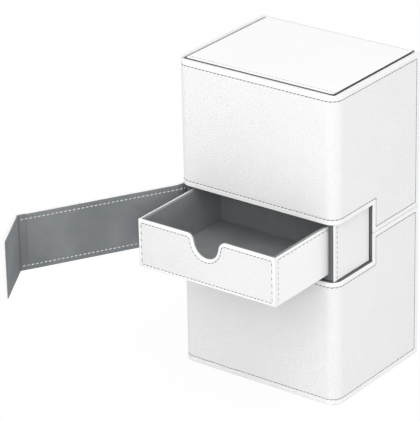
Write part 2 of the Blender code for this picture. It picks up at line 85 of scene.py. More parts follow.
class Wire:
    """A value running through a material's nodes, on which Python operators add nodes."""

    def __init__(self, tree: "Nodes", socket: bpy.types.NodeSocket) -> None:
        """Holds one output socket and the node tree that it belongs to."""
        self.tree = tree
        self.socket = socket

    def _maths(self, operation: str, first: Any, second: Any = 0.0) -> "Wire":
        """One Math node on two values."""
        return self.tree.add("ShaderNodeMath", {0: first, 1: second}, operation=operation)

    def __add__(self, other: Any) -> "Wire":
        """The sum."""
        return self._maths("ADD", self, other)

    def __radd__(self, other: Any) -> "Wire":
        """The sum, the other way round."""
        return self._maths("ADD", other, self)

    def __sub__(self, other: Any) -> "Wire":
        """The difference."""
        return self._maths("SUBTRACT", self, other)

    def __rsub__(self, other: Any) -> "Wire":
        """The difference, the other way round."""
        return self._maths("SUBTRACT", other, self)

    def __mul__(self, other: Any) -> "Wire":
        """The product."""
        return self._maths("MULTIPLY", self, other)

    def __rmul__(self, other: Any) -> "Wire":
        """The product, the other way round."""
        return self._maths("MULTIPLY", other, self)

    def __truediv__(self, other: Any) -> "Wire":
        """The quotient."""
        return self._maths("DIVIDE", self, other)

    def __pow__(self, other: Any) -> "Wire":
        """The power."""
        return self._maths("POWER", self, other)

    def __abs__(self) -> "Wire":
        """The size without its sign."""
        return self._maths("ABSOLUTE", self)

    def sine(self) -> "Wire":
        """The sine, of an angle in radians."""
        return self._maths("SINE", self)

    def sign(self) -> "Wire":
        """One with the value's sign."""
        return self._maths("SIGN", self)

    def at_least(self, other: Any) -> "Wire":
        """The larger of two values."""
        return self._maths("MAXIMUM", self, other)

    def at_most(self, other: Any) -> "Wire":
        """The smaller of two values."""
        return self._maths("MINIMUM", self, other)

    def angle_from(self, other: Any) -> "Wire":
        """The angle whose tangent is this value over another."""
        return self._maths("ARCTAN2", self, other)


class Nodes:
    """The node tree of one material."""

    def __init__(self, name: str) -> None:
        """Starts a material with its Principled shader."""
        self.material = bpy.data.materials.new(name)
        self.material.use_nodes = True
        self.tree = self.material.node_tree
        self.shader = self.tree.nodes["Principled BSDF"]

    def add(self, kind: str, sockets: dict | None = None, output: int | str = 0, **settings: Any) -> Wire:
        """Adds a node, applies its settings, and feeds its sockets.

        Args:
            kind: the node's type.
            sockets: a value or a Wire for each input, by name or number.
            output: the output to hand on.
            **settings: the node's own properties; stops are a colour ramp's (place, colour) pairs.

        Returns:
            The chosen output.
        """
        node = self.tree.nodes.new(kind)
        for key, value in settings.items():
            if key == "stops":
                self._set_stops(node.color_ramp, value)
            else:
                setattr(node, key, value)
        for key, value in (sockets or {}).items():
            self.feed(node.inputs[key], value)
        return Wire(self, node.outputs[output])

    @staticmethod
    def _set_stops(ramp: bpy.types.ColorRamp, stops: Sequence[tuple[float, Colour]]) -> None:
        """Sets a colour ramp's stops."""
        while len(ramp.elements) < len(stops):
            ramp.elements.new(0.5)
        for element, (place, colour) in zip(ramp.elements, stops):
            element.position = place
            element.color = (*colour, 1.0)

    def feed(self, socket: bpy.types.NodeSocket, value: Any) -> None:
        """Links a Wire to an input, or sets its value."""
        if isinstance(value, Wire):
            self.tree.links.new(value.socket, socket)
        elif isinstance(value, tuple) and len(value) == 3 and socket.type == "RGBA":
            socket.default_value = (*value, 1.0)
        else:
            socket.default_value = value

    def place(self) -> Wire:
        """The point of the surface, in the piece's own coordinates."""
        return self.add("ShaderNodeTexCoord", output="Object")

    def along(self, direction: Sequence[float]) -> Wire:
        """How far the point lies along a direction."""
        return self.add(
            "ShaderNodeVectorMath", {0: self.place(), 1: tuple(direction)}, output="Value",
            operation="DOT_PRODUCT",
        )

    def noise(self, scale: float, detail: float = 2.0, roughness: float = 0.5) -> Wire:
        """Soft noise of about one blotch in 1 / scale metres."""
        return self.add(
            "ShaderNodeTexNoise",
            {"Vector": self.place(), "Scale": scale, "Detail": detail, "Roughness": roughness},
            output="Fac",
        )

    def cells(self, scale: float, feature: str = "F1") -> Wire:
        """Distance inside pebble-like cells, about 1 / scale metres across."""
        return self.add(
            "ShaderNodeTexVoronoi", {"Vector": self.place(), "Scale": scale}, output="Distance", feature=feature
        )

    def blend(self, share: Any, first: Any, second: Any) -> Wire:
        """A colour between two others."""
        return self.add(
            "ShaderNodeMix", {"Factor": share, 6: first, 7: second}, output=2, data_type="RGBA",
            clamp_factor=True,
        )

    def relief(self, height: Wire, depth: float, strength: float = 1.0) -> Wire:
        """Surface relief from a height between 0 and 1."""
        return self.add(
            "ShaderNodeBump", {"Strength": strength, "Distance": depth, "Height": height}, output="Normal"
        )

    def surface(self, **values: Any) -> None:
        """Feeds the Principled shader; a name's underscores stand for spaces."""
        for name, value in values.items():
            self.feed(self.shader.inputs[name.replace("_", " ")], value)


# Finishes


class Finish:
    """A finish, whose material is made when it is first used."""

    _made: dict[str, bpy.types.Material] = {}
    name: str
    slot: str

    def paint(self, nodes: Nodes) -> None:
        """Builds the finish's nodes."""
        raise NotImplementedError

    def material(self) -> bpy.types.Material:
        """The finish's material."""
        if self.name not in Finish._made:
            nodes = Nodes(self.name)
            self.paint(nodes)
            Finish._made[self.name] = nodes.material
        return Finish._made[self.name]


@dataclass(frozen=True)
class RibbedLeatherette(Finish):
    """White leatherette with fine slanted ribs; the ribs run across the slope direction."""

    name: str = "ribbed_leatherette"
    slope: tuple[float, float, float] = (1.0, -1.0, -0.86)
    slot: str = "ribbed_skin"
    ridge: Colour = (0.90, 0.90, 0.90)
    # furrow is painted shade in the rib furrows, together with the grey of the grooves.
    furrow: Colour = (0.62, 0.62, 0.622)
    pitch: float = 0.00136
    depth: float = 0.00010
    wander: float = 0.00025

    def measure(self, nodes: Nodes) -> Wire:
        """The length, in metres, that the ribs are counted along."""
        return nodes.along(self.slope)

    def paint(self, nodes: Nodes) -> None:
        """Rounded ribs with narrow furrows, a little uneven, over a faint grain; the furrows' darker colour is painted
        shade together with their own grey.
        """
        drift = (nodes.noise(220.0, 1.0) - 0.5) * self.wander
        phase = (self.measure(nodes) + drift) * (math.pi / self.pitch)
        rib = abs(phase.sine())
        grain = nodes.noise(3400.0, 2.0)
        height = rib**0.55 * 0.85 + grain * 0.15
        patch = nodes.noise(35.0, 3.0)
        shade = rib**0.5 * 0.86 + patch * 0.14
        nodes.surface(
            Base_Color=nodes.blend(shade, self.furrow, self.ridge), Roughness=0.78 - rib * 0.12,
            Normal=nodes.relief(height, self.depth, 0.85), Specular_IOR_Level=0.2,
        )


@dataclass(frozen=True)
class ChevronLeatherette(RibbedLeatherette):
    """Ribbed leatherette wrapped round two corners, at each of which the ribs turn back."""

    name: str = "chevron_leatherette"
    half_front: float = 0.0455
    corner_y: float = -0.03365
    corner: float = 0.007

    def measure(self, nodes: Nodes) -> Wire:
        """Length along the wrap, turned back at each corner, less the height's share."""
        x, y, z = (nodes.along(axis) for axis in ((1, 0, 0), (0, 1, 0), (0, 0, 1)))
        beside, behind = abs(x) - self.half_front, y - self.corner_y
        turn = beside.at_least(0.0).angle_from((behind * -1.0).at_least(0.0))
        run = abs(x).at_most(self.half_front) + turn * self.corner + behind.at_least(0.0)
        apex = self.half_front + self.corner * math.pi / 4
        return x.sign() * (apex - abs(run - apex)) + z * self.slope[2]


@dataclass(frozen=True)
class SmoothLeatherette(Finish):
    """White leatherette pressed smooth, with a fine pebbled grain."""

    name: str = "smooth_leatherette"
    slot: str = "smooth_skin"
    tone: Colour = (0.90, 0.902, 0.898)
    shade: Colour = (0.83, 0.835, 0.83)
    grain: float = 1500.0
    depth: float = 0.00005

    def paint(self, nodes: Nodes) -> None:
        """A pebbled grain with slow changes of tone."""
        pebble = nodes.cells(self.grain) * 0.7 + nodes.noise(self.grain * 2.4, 2.0) * 0.3
        patch = nodes.noise(26.0, 3.0)
        nodes.surface(
            Base_Color=nodes.blend(patch * 0.55 + pebble * 0.2, self.tone, self.shade),
            Roughness=0.56 + patch * 0.14, Normal=nodes.relief(pebble, self.depth, 0.5), Specular_IOR_Level=0.3,
        )


@dataclass(frozen=True)
class Microfibre(Finish):
    """Brushed grey microfibre, with a short nap that lies in soft patches."""

    name: str = "grey_microfibre"
    slot: str = "lining"
    light: Colour = (0.240, 0.256, 0.266)
    dark: Colour = (0.140, 0.152, 0.159)
    sheen: float = 0.06

    def paint(self, nodes: Nodes) -> None:
        """Nap in patches, with a fine fibre over it."""
        patch = nodes.noise(45.0, 3.0, 0.55)
        fibre = nodes.noise(2600.0, 3.0, 0.7)
        nodes.surface(
            Base_Color=nodes.blend(patch * 1.3 + fibre * 0.3 - 0.3, self.dark, self.light),
            Roughness=0.86 + fibre * 0.1, Normal=nodes.relief(fibre, 0.00008, 0.5), Sheen_Weight=self.sheen,
            Sheen_Roughness=0.6, Specular_IOR_Level=0.2,
        )


@dataclass(frozen=True)
class FibreBoard(Finish):
    """Dark pressed board with specks of fibre."""

    name: str = "charcoal_board"
    slot: str = "board"
    tone: Colour = (0.085, 0.09, 0.095)
    speck: Colour = (0.17, 0.175, 0.18)

    def paint(self, nodes: Nodes) -> None:
        """Specks on a slightly rough, mottled ground."""
        speck = nodes.noise(900.0, 4.0, 0.75) ** 3.0 * 2.2
        mottle = nodes.noise(60.0, 2.0)
        nodes.surface(
            Base_Color=nodes.blend(speck + mottle * 0.2, self.tone, self.speck), Roughness=0.72 + mottle * 0.16,
            Normal=nodes.relief(speck, 0.00006, 0.4), Specular_IOR_Level=0.3,
        )


@dataclass(frozen=True)
class PlatedSteel(Finish):
    """Nickel-plated steel, lightly brushed."""

    name: str = "nickel_plated_steel"
    slot: str = "steel"
    tone: Colour = (0.62, 0.62, 0.60)
    dull: Colour = (0.45, 0.45, 0.44)

    def paint(self, nodes: Nodes) -> None:
        """Fine brushing with duller patches."""
        brush = nodes.noise(1800.0, 3.0, 0.8)
        patch = nodes.noise(140.0, 2.0)
        nodes.surface(
            Base_Color=nodes.blend(patch, self.tone, self.dull), Metallic=1.0, Roughness=0.28 + brush * 0.2,
            Normal=nodes.relief(brush, 0.00002, 0.3),
        )


@dataclass(frozen=True)
class Thread(Finish):
    """Twisted sewing thread."""

    name: str
    slot: str
    tone: Colour
    shadow: Colour

    def paint(self, nodes: Nodes) -> None:
        """A fine twist with darker hollows."""
        twist = abs((nodes.along((1.0, 0.7, 1.3)) * 9000.0).sine())
        fuzz = nodes.noise(5200.0, 2.0)
        nodes.surface(
            Base_Color=nodes.blend(twist * 0.75 + fuzz * 0.25, self.shadow, self.tone),
            Roughness=0.62 + fuzz * 0.2, Normal=nodes.relief(twist, 0.00004, 0.5), Specular_IOR_Level=0.35,
        )


SMOOTH = SmoothLeatherette()
# Painted shade: a darker copy of the smooth leatherette for the lids, whose tops take the strongest light.
SHADED_LID = SmoothLeatherette("shaded_lid_leatherette", "smooth_skin", (0.875, 0.877, 0.873), (0.80, 0.805, 0.80))
# Painted shade: a darker copy of the smooth leatherette for the end face of each cover's rim.
SHADED_RIM = SmoothLeatherette("shaded_rim_leatherette", "smooth_skin", (0.80, 0.802, 0.80), (0.72, 0.725, 0.72))
# Painted shade: a dark grey for the floors of the stitch grooves.
GROOVE_SHADE = SmoothLeatherette("groove_shaded_leatherette", "smooth_skin", (0.50, 0.50, 0.50), (0.40, 0.40, 0.40))
# Painted shade: a mid grey for the bottoms of the lids' creases and for the drawer front's turn-in line.
CREASE_SHADE = SmoothLeatherette(
    "crease_shaded_leatherette", "smooth_skin", (0.62, 0.625, 0.62), (0.54, 0.545, 0.54)
)
# Painted shade: a darker copy of the smooth leatherette for the tab's seat, which lies under the cover's rim.
SHADED_SEAT = SmoothLeatherette("shaded_seat_leatherette", "smooth_skin", (0.85, 0.852, 0.85), (0.77, 0.775, 0.77))
# Painted shade: a darker copy of the ribs for the drawer front, with darker furrows for more shade between the ribs.
SHADED_DRAWER_RIBS = RibbedLeatherette(
    "shaded_ribbed_drawer", (1.0, -1.0, -1.0), ridge=(0.87, 0.87, 0.87), furrow=(0.56, 0.56, 0.562), pitch=0.00140
)
# Painted highlight: a paler copy of the ribs for the drawer front's border, with less painted shade in its shallower
# furrows.
LIT_DRAWER_RIB_BORDER = RibbedLeatherette(
    "lit_drawer_rib_border", (1.0, -1.0, -1.0), furrow=(0.76, 0.76, 0.762), pitch=0.00140, depth=0.00006
)
LINING = Microfibre()
# Painted light: a lighter copy of the microfibre for the drawer's inside, to lift its shade.
LIT_DRAWER_LINING = Microfibre("lit_drawer_microfibre", "lining", (0.285, 0.298, 0.305), (0.18, 0.19, 0.197))
# Painted shade: a darker copy of the microfibre for the inside of the folds.
FOLD_SHADE_LINING = Microfibre("fold_shaded_microfibre", "lining", (0.215, 0.23, 0.238), (0.13, 0.141, 0.148))
# Dark microfibre: the own colour of the wrapped boards and the sleeve, and painted shade on the lids' edges and along
# the folds' creases.
DARK_WRAP_AND_SHADE = Microfibre("dark_microfibre_and_shade", "wrapped_board", (0.15, 0.158, 0.165), (0.10, 0.106, 0.112))
BOARD = FibreBoard()
STEEL = PlatedSteel()
GREY_THREAD = Thread("grey_thread", "ribbed_skin", (0.25, 0.255, 0.26), (0.10, 0.104, 0.108))
PALE_THREAD = Thread("pale_thread", "smooth_skin", (0.60, 0.61, 0.61), (0.42, 0.43, 0.43))
WHITE_THREAD = Thread("white_thread", "lining", (0.86, 0.87, 0.87), (0.55, 0.56, 0.57))


# Modelling


class Pick(Enum):
    """What an edit-mode selection holds."""

    VERTS = "VERT"
    EDGES = "EDGE"
    FACES = "FACE"


@dataclass(frozen=True)
class Bridge:
    """What a soft piece bends between: two bodies, and where the bend starts and ends."""

    first: str
    second: str
    start: Vector
    end: Vector


class Workpiece:
    """A mesh on the bench, shaped in edit mode and finished with applied modifiers."""

    def __init__(self, obj: bpy.types.Object) -> None:
        """Takes an object onto the bench."""
        self.obj = obj

    @classmethod
    def cuboid(cls, name: str, low: Sequence[float], high: Sequence[float]) -> "Workpiece":
        """A block between two corners, to be shaped further."""
        low, high = Vector(low), Vector(high)
        bpy.ops.object.select_all(action="DESELECT")
        bpy.ops.mesh.primitive_cube_add(size=1, location=(low + high) / 2, scale=high - low)
        return cls._named(name)

    @classmethod
    def rod(cls, name: str, radius: float, length: float, sides: int) -> "Workpiece":
        """A round bar along X about the origin, to be shaped further."""
        bpy.ops.object.select_all(action="DESELECT")
        bpy.ops.mesh.primitive_cylinder_add(
            vertices=sides, radius=radius, depth=length, location=(0, 0, 0), rotation=(0, math.pi / 2, 0)
        )
        return cls._named(name)

    @classmethod
    def copy_of(cls, node: str, name: str, nodes: dict[str, bpy.types.Object]) -> "Workpiece":
        """A merged copy of a CAD node's mesh, with its flat faces whole again."""
        obj = bpy.data.objects.new(name, nodes[node].data.copy())
        bpy.context.scene.collection.objects.link(obj)
        piece = cls(obj)
        obj.data.name = name
        obj.data.materials.clear()
        for attribute in [a.name for a in obj.data.color_attributes]:
            obj.data.color_attributes.remove(obj.data.color_attributes[attribute])
        with piece.editing():
            bpy.ops.mesh.select_all(action="SELECT")
            bpy.ops.mesh.customdata_custom_splitnormals_clear()
            bpy.ops.mesh.remove_doubles(threshold=1e-6)
            bpy.ops.mesh.dissolve_limited(angle_limit=math.radians(0.5))
        return piece

    @classmethod
    def _named(cls, name: str) -> "Workpiece":
        """The primitive just added, under its name and with its place in its mesh."""
        piece = cls(bpy.context.active_object)
        piece.obj.name = piece.obj.data.name = name
        bpy.ops.object.transform_apply(location=True, rotation=True, scale=True)
        return piece

    def choose(self) -> None:
        """Makes this the one selected and active object."""
        bpy.ops.object.select_all(action="DESELECT")
        self.obj.select_set(True)
        bpy.context.view_layer.objects.active = self.obj

    @contextmanager
    def editing(self) -> Iterator["Workpiece"]:
        """Edit mode on this piece."""
        self.choose()
        bpy.ops.object.mode_set(mode="EDIT")
        yield self
        bpy.ops.object.mode_set(mode="OBJECT")

    def pick(self, kind: Pick, test: Callable[[Any], bool]) -> int:
        """Selects the vertices, edges or faces that pass a test.

        Args:
            kind: what to select.
            test: says of a bmesh element whether it is wanted.

        Returns:
            How many were selected.
        """
        bpy.ops.mesh.select_mode(type=kind.value)
        bpy.ops.mesh.select_all(action="DESELECT")
        mesh = bmesh.from_edit_mesh(self.obj.data)
        items = {Pick.VERTS: mesh.verts, Pick.EDGES: mesh.edges, Pick.FACES: mesh.faces}[kind]
        chosen = [item for item in items if test(item)]
        for item in chosen:
            item.select_set(True)
        mesh.select_flush_mode()
        bmesh.update_edit_mesh(self.obj.data)
        return len(chosen)

    def cut(self, axis: int, *levels: float) -> None:
        """Cuts new edges round the whole piece at levels along an axis."""
        normal = Vector((0, 0, 0))
        normal[axis] = 1
        for level in levels:
            bpy.ops.mesh.select_all(action="SELECT")
            bpy.ops.mesh.bisect(plane_co=normal * level, plane_no=normal, threshold=1e-7)

    def slice_off(self, point: Sequence[float], normal: Sequence[float]) -> None:
        """Removes what lies beyond a plane and closes the cut."""
        bpy.ops.mesh.select_all(action="SELECT")
        bpy.ops.mesh.bisect(
            plane_co=point, plane_no=normal, clear_outer=True, use_fill=True, threshold=1e-7
        )

    def remove_faces(self, test: Callable[[Any], bool]) -> None:
        """Deletes the faces that pass a test."""
        self.pick(Pick.FACES, test)
        bpy.ops.mesh.delete(type="FACE")

    def round_edges(self, test: Callable[[Any], bool], radius: float, segments: int) -> None:
        """Rounds the edges that pass a test."""
        if self.pick(Pick.EDGES, test):
            bpy.ops.mesh.bevel(
                offset=radius, segments=segments, profile=0.5, affect="EDGES", clamp_overlap=True
            )

    def swell(self, distance: float) -> None:
        """Moves the selection outwards along its normals, or inwards for less than zero."""
        bpy.ops.transform.shrink_fatten(value=distance)

    def move(self, offset: Sequence[float]) -> None:
        """Moves the selection."""
        bpy.ops.transform.translate(value=offset)

    def thicken(self, thickness: float) -> None:
        """Gives an open sheet its thickness, inwards from its outer face."""
        modifier = self.obj.modifiers.new("thickness", "SOLIDIFY")
        modifier.thickness = thickness
        modifier.offset = -1
        modifier.use_even_offset = True
        self.apply(modifier)

    def apply(self, modifier: bpy.types.Modifier) -> None:
        """Applies a modifier."""
        self.choose()
        bpy.ops.object.modifier_apply(modifier=modifier.name)

    def carve(self, cutter: "Workpiece") -> None:
        """Cuts another shape out of this one, and removes the cutter."""
        modifier = self.obj.modifiers.new("carve", "BOOLEAN")
        modifier.operation = "DIFFERENCE"
        modifier.solver = "EXACT"
        modifier.object = cutter.obj
        self.apply(modifier)
        bpy.data.objects.remove(cutter.obj, do_unlink=True)

    def put(self, matrix: Matrix) -> None:
        """Moves the finished shape from its own bench place to its place on the case."""
        self.obj.data.transform(matrix)
        self.obj.data.update()

    def finish(
        self, finish: Finish, body: str | Bridge, replaces: Sequence[str] = (), others: Sequence[Patch] = (),
        angle: float = 35.0, flat_faces_lead: bool = True,
    ) -> bpy.types.Object:
        """Dresses the piece, smooths its rounded edges and hangs it on its body; a piece over a bridge stays in place,
        hung on neither body.

        Args:
            finish: the main finish, which also names the record's slot.
            body: the CAD body that it moves with, or the bridge that it bends over.
            replaces: the CAD nodes that it stands for.
            others: further finishes, each with the test of the faces that have it; the first test that
                holds decides.
            angle: the angle in degrees up to which an edge is smooth.
            flat_faces_lead: whether large flat faces keep their flat shading beside rounded edges.

        Returns:
            The finished object.
        """
        self.dress(finish, others)
        self.choose()
        bpy.ops.object.shade_smooth_by_angle(angle=math.radians(angle))
        if flat_faces_lead:
            modifier = self.obj.modifiers.new("normals", "WEIGHTED_NORMAL")
            modifier.keep_sharp = True
            self.apply(modifier)
        if replaces:
            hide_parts(*replaces)
        if isinstance(body, Bridge):
            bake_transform(self.obj)
            body = f"{body.first} and {body.second}"
        else:
            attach(self.obj, body)
        LOG.info("%s goes with %s, %d faces", self.obj.name, body, len(self.obj.data.polygons))
        return self.obj

    def dress(self, finish: Finish, others: Sequence[Patch] = ()) -> None:
        """Gives the faces their materials."""
        mesh = self.obj.data
        mesh.materials.clear()
        for one in (finish, *[other for other, _ in others]):
            mesh.materials.append(one.material())
        for face in mesh.polygons:
            face.material_index = next((i + 1 for i, (_, test) in enumerate(others) if test(face)), 0)


def near(first: float, second: float, slack: float = EPS) -> bool:
    """Whether two lengths are the same."""
    return abs(first - second) < slack


def even(edge: bmesh.types.BMEdge, axis: int) -> bool:
    """Whether an edge's two ends share their coordinate along an axis."""
    return near(edge.verts[0].co[axis], edge.verts[1].co[axis])


def both_at(edge: bmesh.types.BMEdge, axis: int, level: float) -> bool:
    """Whether an edge's two ends lie at a level along an axis."""
    return all(near(vertex.co[axis], level) for vertex in edge.verts)


def sharp(edge: Any, degrees: float = 50.0) -> bool:
    """Whether an edge's two faces meet at an angle."""
    return len(edge.link_faces) == 2 and edge.calc_face_angle(0.0) > math.radians(degrees)


def arc(centre: Plan, radius: float, start: float, end: float, steps: int) -> list[Plan]:
    """Points along an arc, both ends included."""
    return [
        (
            centre[0] + radius * math.cos(start + (end - start) * step / steps),
            centre[1] + radius * math.sin(start + (end - start) * step / steps),
        )
        for step in range(steps + 1)
    ]


def off_path(point: Plan, path: Sequence[Plan]) -> float:
    """The distance from a point to a path of straight pieces."""
    place, best = Vector(point), math.inf
    for first, second in zip(path, path[1:]):
        start, side = Vector(first), Vector(second) - Vector(first)
        share = max(0.0, min(1.0, (place - start).dot(side) / max(side.length_squared, 1e-18)))
        best = min(best, (place - start - side * share).length)
    return best


def inside(point: Plan, outline: Sequence[Plan]) -> bool:
    """Whether a point lies inside a closed outline, whose last point repeats its first."""
    x, y = point
    odd = False
    for (ax, ay), (bx, by) in zip(outline, outline[1:]):
        if (ay > y) != (by > y) and x < (bx - ax) * (y - ay) / (by - ay) + ax:
            odd = not odd
    return odd


# Seams


@dataclass(frozen=True)
class Groove:
    """The pressed channel that a row of stitches lies in."""

    half: float = 0.00045
    core: float = 0.00016
    depth: float = 0.00028

    def cut(self, piece: Workpiece, axis: int, *lines: float) -> None:
        """Cuts the channel's four edges along lines at levels of an axis."""
        for line in lines:
            piece.cut(axis, line - self.half, line - self.core, line + self.core, line + self.half)

    def holds(self, point: Plan, path: Sequence[Plan]) -> bool:
        """Whether a flat point lies at the bottom of the channel along a path."""
        return off_path(point, path) < self.core * 1.6

    @property
    def bed(self) -> float:
        """How deep under the surface the stitches lie."""
        return self.depth - 0.00008


@dataclass(frozen=True)
class Row:
    """How far apart the stitches of a row are, and how long each is."""

    pitch: float = 0.0025
    length: float = 0.0018


@dataclass(frozen=True)
class Seat:
    """Where one stitch lies: its place, the way that it runs, the way out of the surface, and its length."""

    place: Vector
    along: Vector
    out: Vector
    length: float

    def matrix(self, slant: float) -> Matrix:
        """The stitch's frame, turned a little about the way out and as long as the stitch."""
        along = (Matrix.Rotation(slant, 3, self.out) @ self.along).normalized()
        side = self.out.cross(along).normalized()
        out = along.cross(side)
        matrix = Matrix((along * self.length, side, out)).transposed().to_4x4()
        matrix.translation = self.place
        return matrix


@dataclass(frozen=True)
class Seam:
    """Rows of stitches, all copies of one modelled stitch; level and upright rows may differ."""

    level: Row = Row()
    upright: Row = Row()
    width: float = 0.0005
    height: float = 0.0003
    slant: float = math.radians(11)

    def model(self) -> Workpiece:
        """One stitch of unit length along X: a soft bar whose ends dive into the leather."""
        piece = Workpiece.rod("stitch", self.width / 2, 1.0, 6)
        with piece.editing():
            piece.cut(0, -0.36, 0.36)
            bpy.ops.mesh.select_all(action="SELECT")
            bpy.ops.transform.resize(value=(1, 1, self.height / self.width), center_override=(0, 0, 0))
            for side in (-1, 1):
                piece.pick(Pick.VERTS, lambda v, s=side: v.co.x * s > 0.45)
                bpy.ops.transform.resize(value=(1, 0.5, 0.5), center_override=(side / 2, 0, -self.height / 2))
        return piece

    def walk(self, path: Sequence[Plan], spot: Callable[[Plan], tuple[Vector, Vector]]) -> list[Seat]:
        """Spaces stitches evenly along a path, run by run between its corners.

        Args:
            path: the seam's points on the flat panel.
            spot: gives the place and the way out of the surface at a point of the flat panel.

        Returns:
            The stitches' seats.
        """
        runs, run = [], [path[0]]
        for index in range(1, len(path)):
            run.append(path[index])
            last = index == len(path) - 1
            if not last:
                before = Vector(path[index]) - Vector(path[index - 1])
                after = Vector(path[index + 1]) - Vector(path[index])
            if last or before.angle(after, 0.0) > math.radians(35):
                runs.append(run)
                run = [path[index]]
        seats = []
        for run in runs:
            seats += self._walk_run(run, spot)
        return seats

    def _walk_run(self, run: Sequence[Plan], spot: Callable[[Plan], tuple[Vector, Vector]]) -> list[Seat]:
        """Stitches along one run without corners."""
        whole = Vector(run[-1]) - Vector(run[0])
        row = self.upright if abs(whole.y) > abs(whole.x) else self.level
        lengths = [0.0]
        for first, second in zip(run, run[1:]):
            lengths.append(lengths[-1] + (Vector(second) - Vector(first)).length)
        count = max(1, round(lengths[-1] / row.pitch))
        step = lengths[-1] / count

        def at(distance: float) -> Plan:
            """The flat point at a distance along the run."""
            for index in range(1, len(run)):
                if distance <= lengths[index] or index == len(run) - 1:
                    share = (distance - lengths[index - 1]) / (lengths[index] - lengths[index - 1])
                    return tuple(Vector(run[index - 1]).lerp(Vector(run[index]), share))
            return run[-1]

        seats = []
        for number in range(count):
            middle = (number + 0.5) * step
            place, out = spot(at(middle))
            before, after = spot(at(middle - step * 0.3))[0], spot(at(middle + step * 0.3))[0]
            seats.append(Seat(place, (after - before).normalized(), out.normalized(), row.length))
        return seats

    def sew(self, name: str, seats: Sequence[Seat], finish: Finish, body: str | Bridge) -> bpy.types.Object:
        """Copies the stitch to every seat and joins the copies into one piece."""
        master = self.model()
        copies = []
        for seat in seats:
            copy = bpy.data.objects.new(name, master.obj.data.copy())
            copy.data.transform(seat.matrix(self.slant))
            bpy.context.scene.collection.objects.link(copy)
            copies.append(copy)
        bpy.data.objects.remove(master.obj, do_unlink=True)
        bpy.ops.object.select_all(action="DESELECT")
        for copy in copies:
            copy.select_set(True)
        bpy.context.view_layer.objects.active = copies[0]
        bpy.ops.object.join()
        copies[0].name = copies[0].data.name = name
        return Workpiece(copies[0]).finish(finish, body, angle=60, flat_faces_lead=False)


# The case


@dataclass(frozen=True)
class CasePlan:
    """Main faces and levels of the case, read from the frame."""

    half_width: float
    front: float
    rear: float
    height: float
    bay_floor: float
    bay_roof: float
    notch_rear: float
    corner: float = 0.007
    wall: float = 0.0023

    @classmethod
    def from_frame(cls) -> "CasePlan":
        """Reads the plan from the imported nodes."""
        low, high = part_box("upper_cover_skin")
        return cls(
            half_width=high.x, front=low.y, rear=high.y, height=high.z, bay_floor=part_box("lower_card_box")[1].z,
            bay_roof=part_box("upper_card_box")[0].z, notch_rear=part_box("tab_seat_skin")[1].y + 0.0003,
        )

    @property
    def half_front(self) -> float:
        """Half of the front's flat stretch."""
        return self.half_width - self.corner

    @property
    def quarter(self) -> float:
        """Length of a rounded corner."""
        return self.corner * math.pi / 2

    def run(self, y: float) -> float:
        """Length along the wrap from the front's middle to a depth on the side."""
        return self.half_front + self.quarter + y - self.front - self.corner

    def wrap(self, run: float) -> tuple[float, float, Vector]:
        """The plan point at a length along the wrap, and the way out there.

        Args:
            run: the length from the middle of the front, towards +X or -X.

        Returns:
            x, y and the outward direction.
        """
        side = 1.0 if run >= 0 else -1.0
        length = abs(run)
        if length <= self.half_front:
            return side * length, self.front, Vector((0, -1, 0))
        centre_x, centre_y = self.half_front, self.front + self.corner
        if length <= self.half_front + self.quarter:
            angle = (length - self.half_front) / self.corner
            out = Vector((math.sin(angle), -math.cos(angle), 0))
            return (
                side * (centre_x + self.corner * out.x), centre_y + self.corner * out.y,
                Vector((side * out.x, out.y, 0)),
            )
        y = centre_y + length - self.half_front - self.quarter
        return side * self.half_width, y, Vector((side, 0, 0))

    def unwrap(self, place: Vector) -> float:
        """Length along the wrap of a point on it."""
        side = 1.0 if place.x >= 0 else -1.0
        centre_x, centre_y = self.half_front, self.front + self.corner
        if abs(place.x) <= centre_x:
            return place.x
        if place.y <= centre_y:
            angle = math.atan2(abs(place.x) - centre_x, centre_y - place.y)
            return side * (centre_x + self.corner * angle)
        return side * self.run(place.y)


class Block(Enum):
    """The case's two card blocks."""

    UPPER = "upper"
    LOWER = "lower"


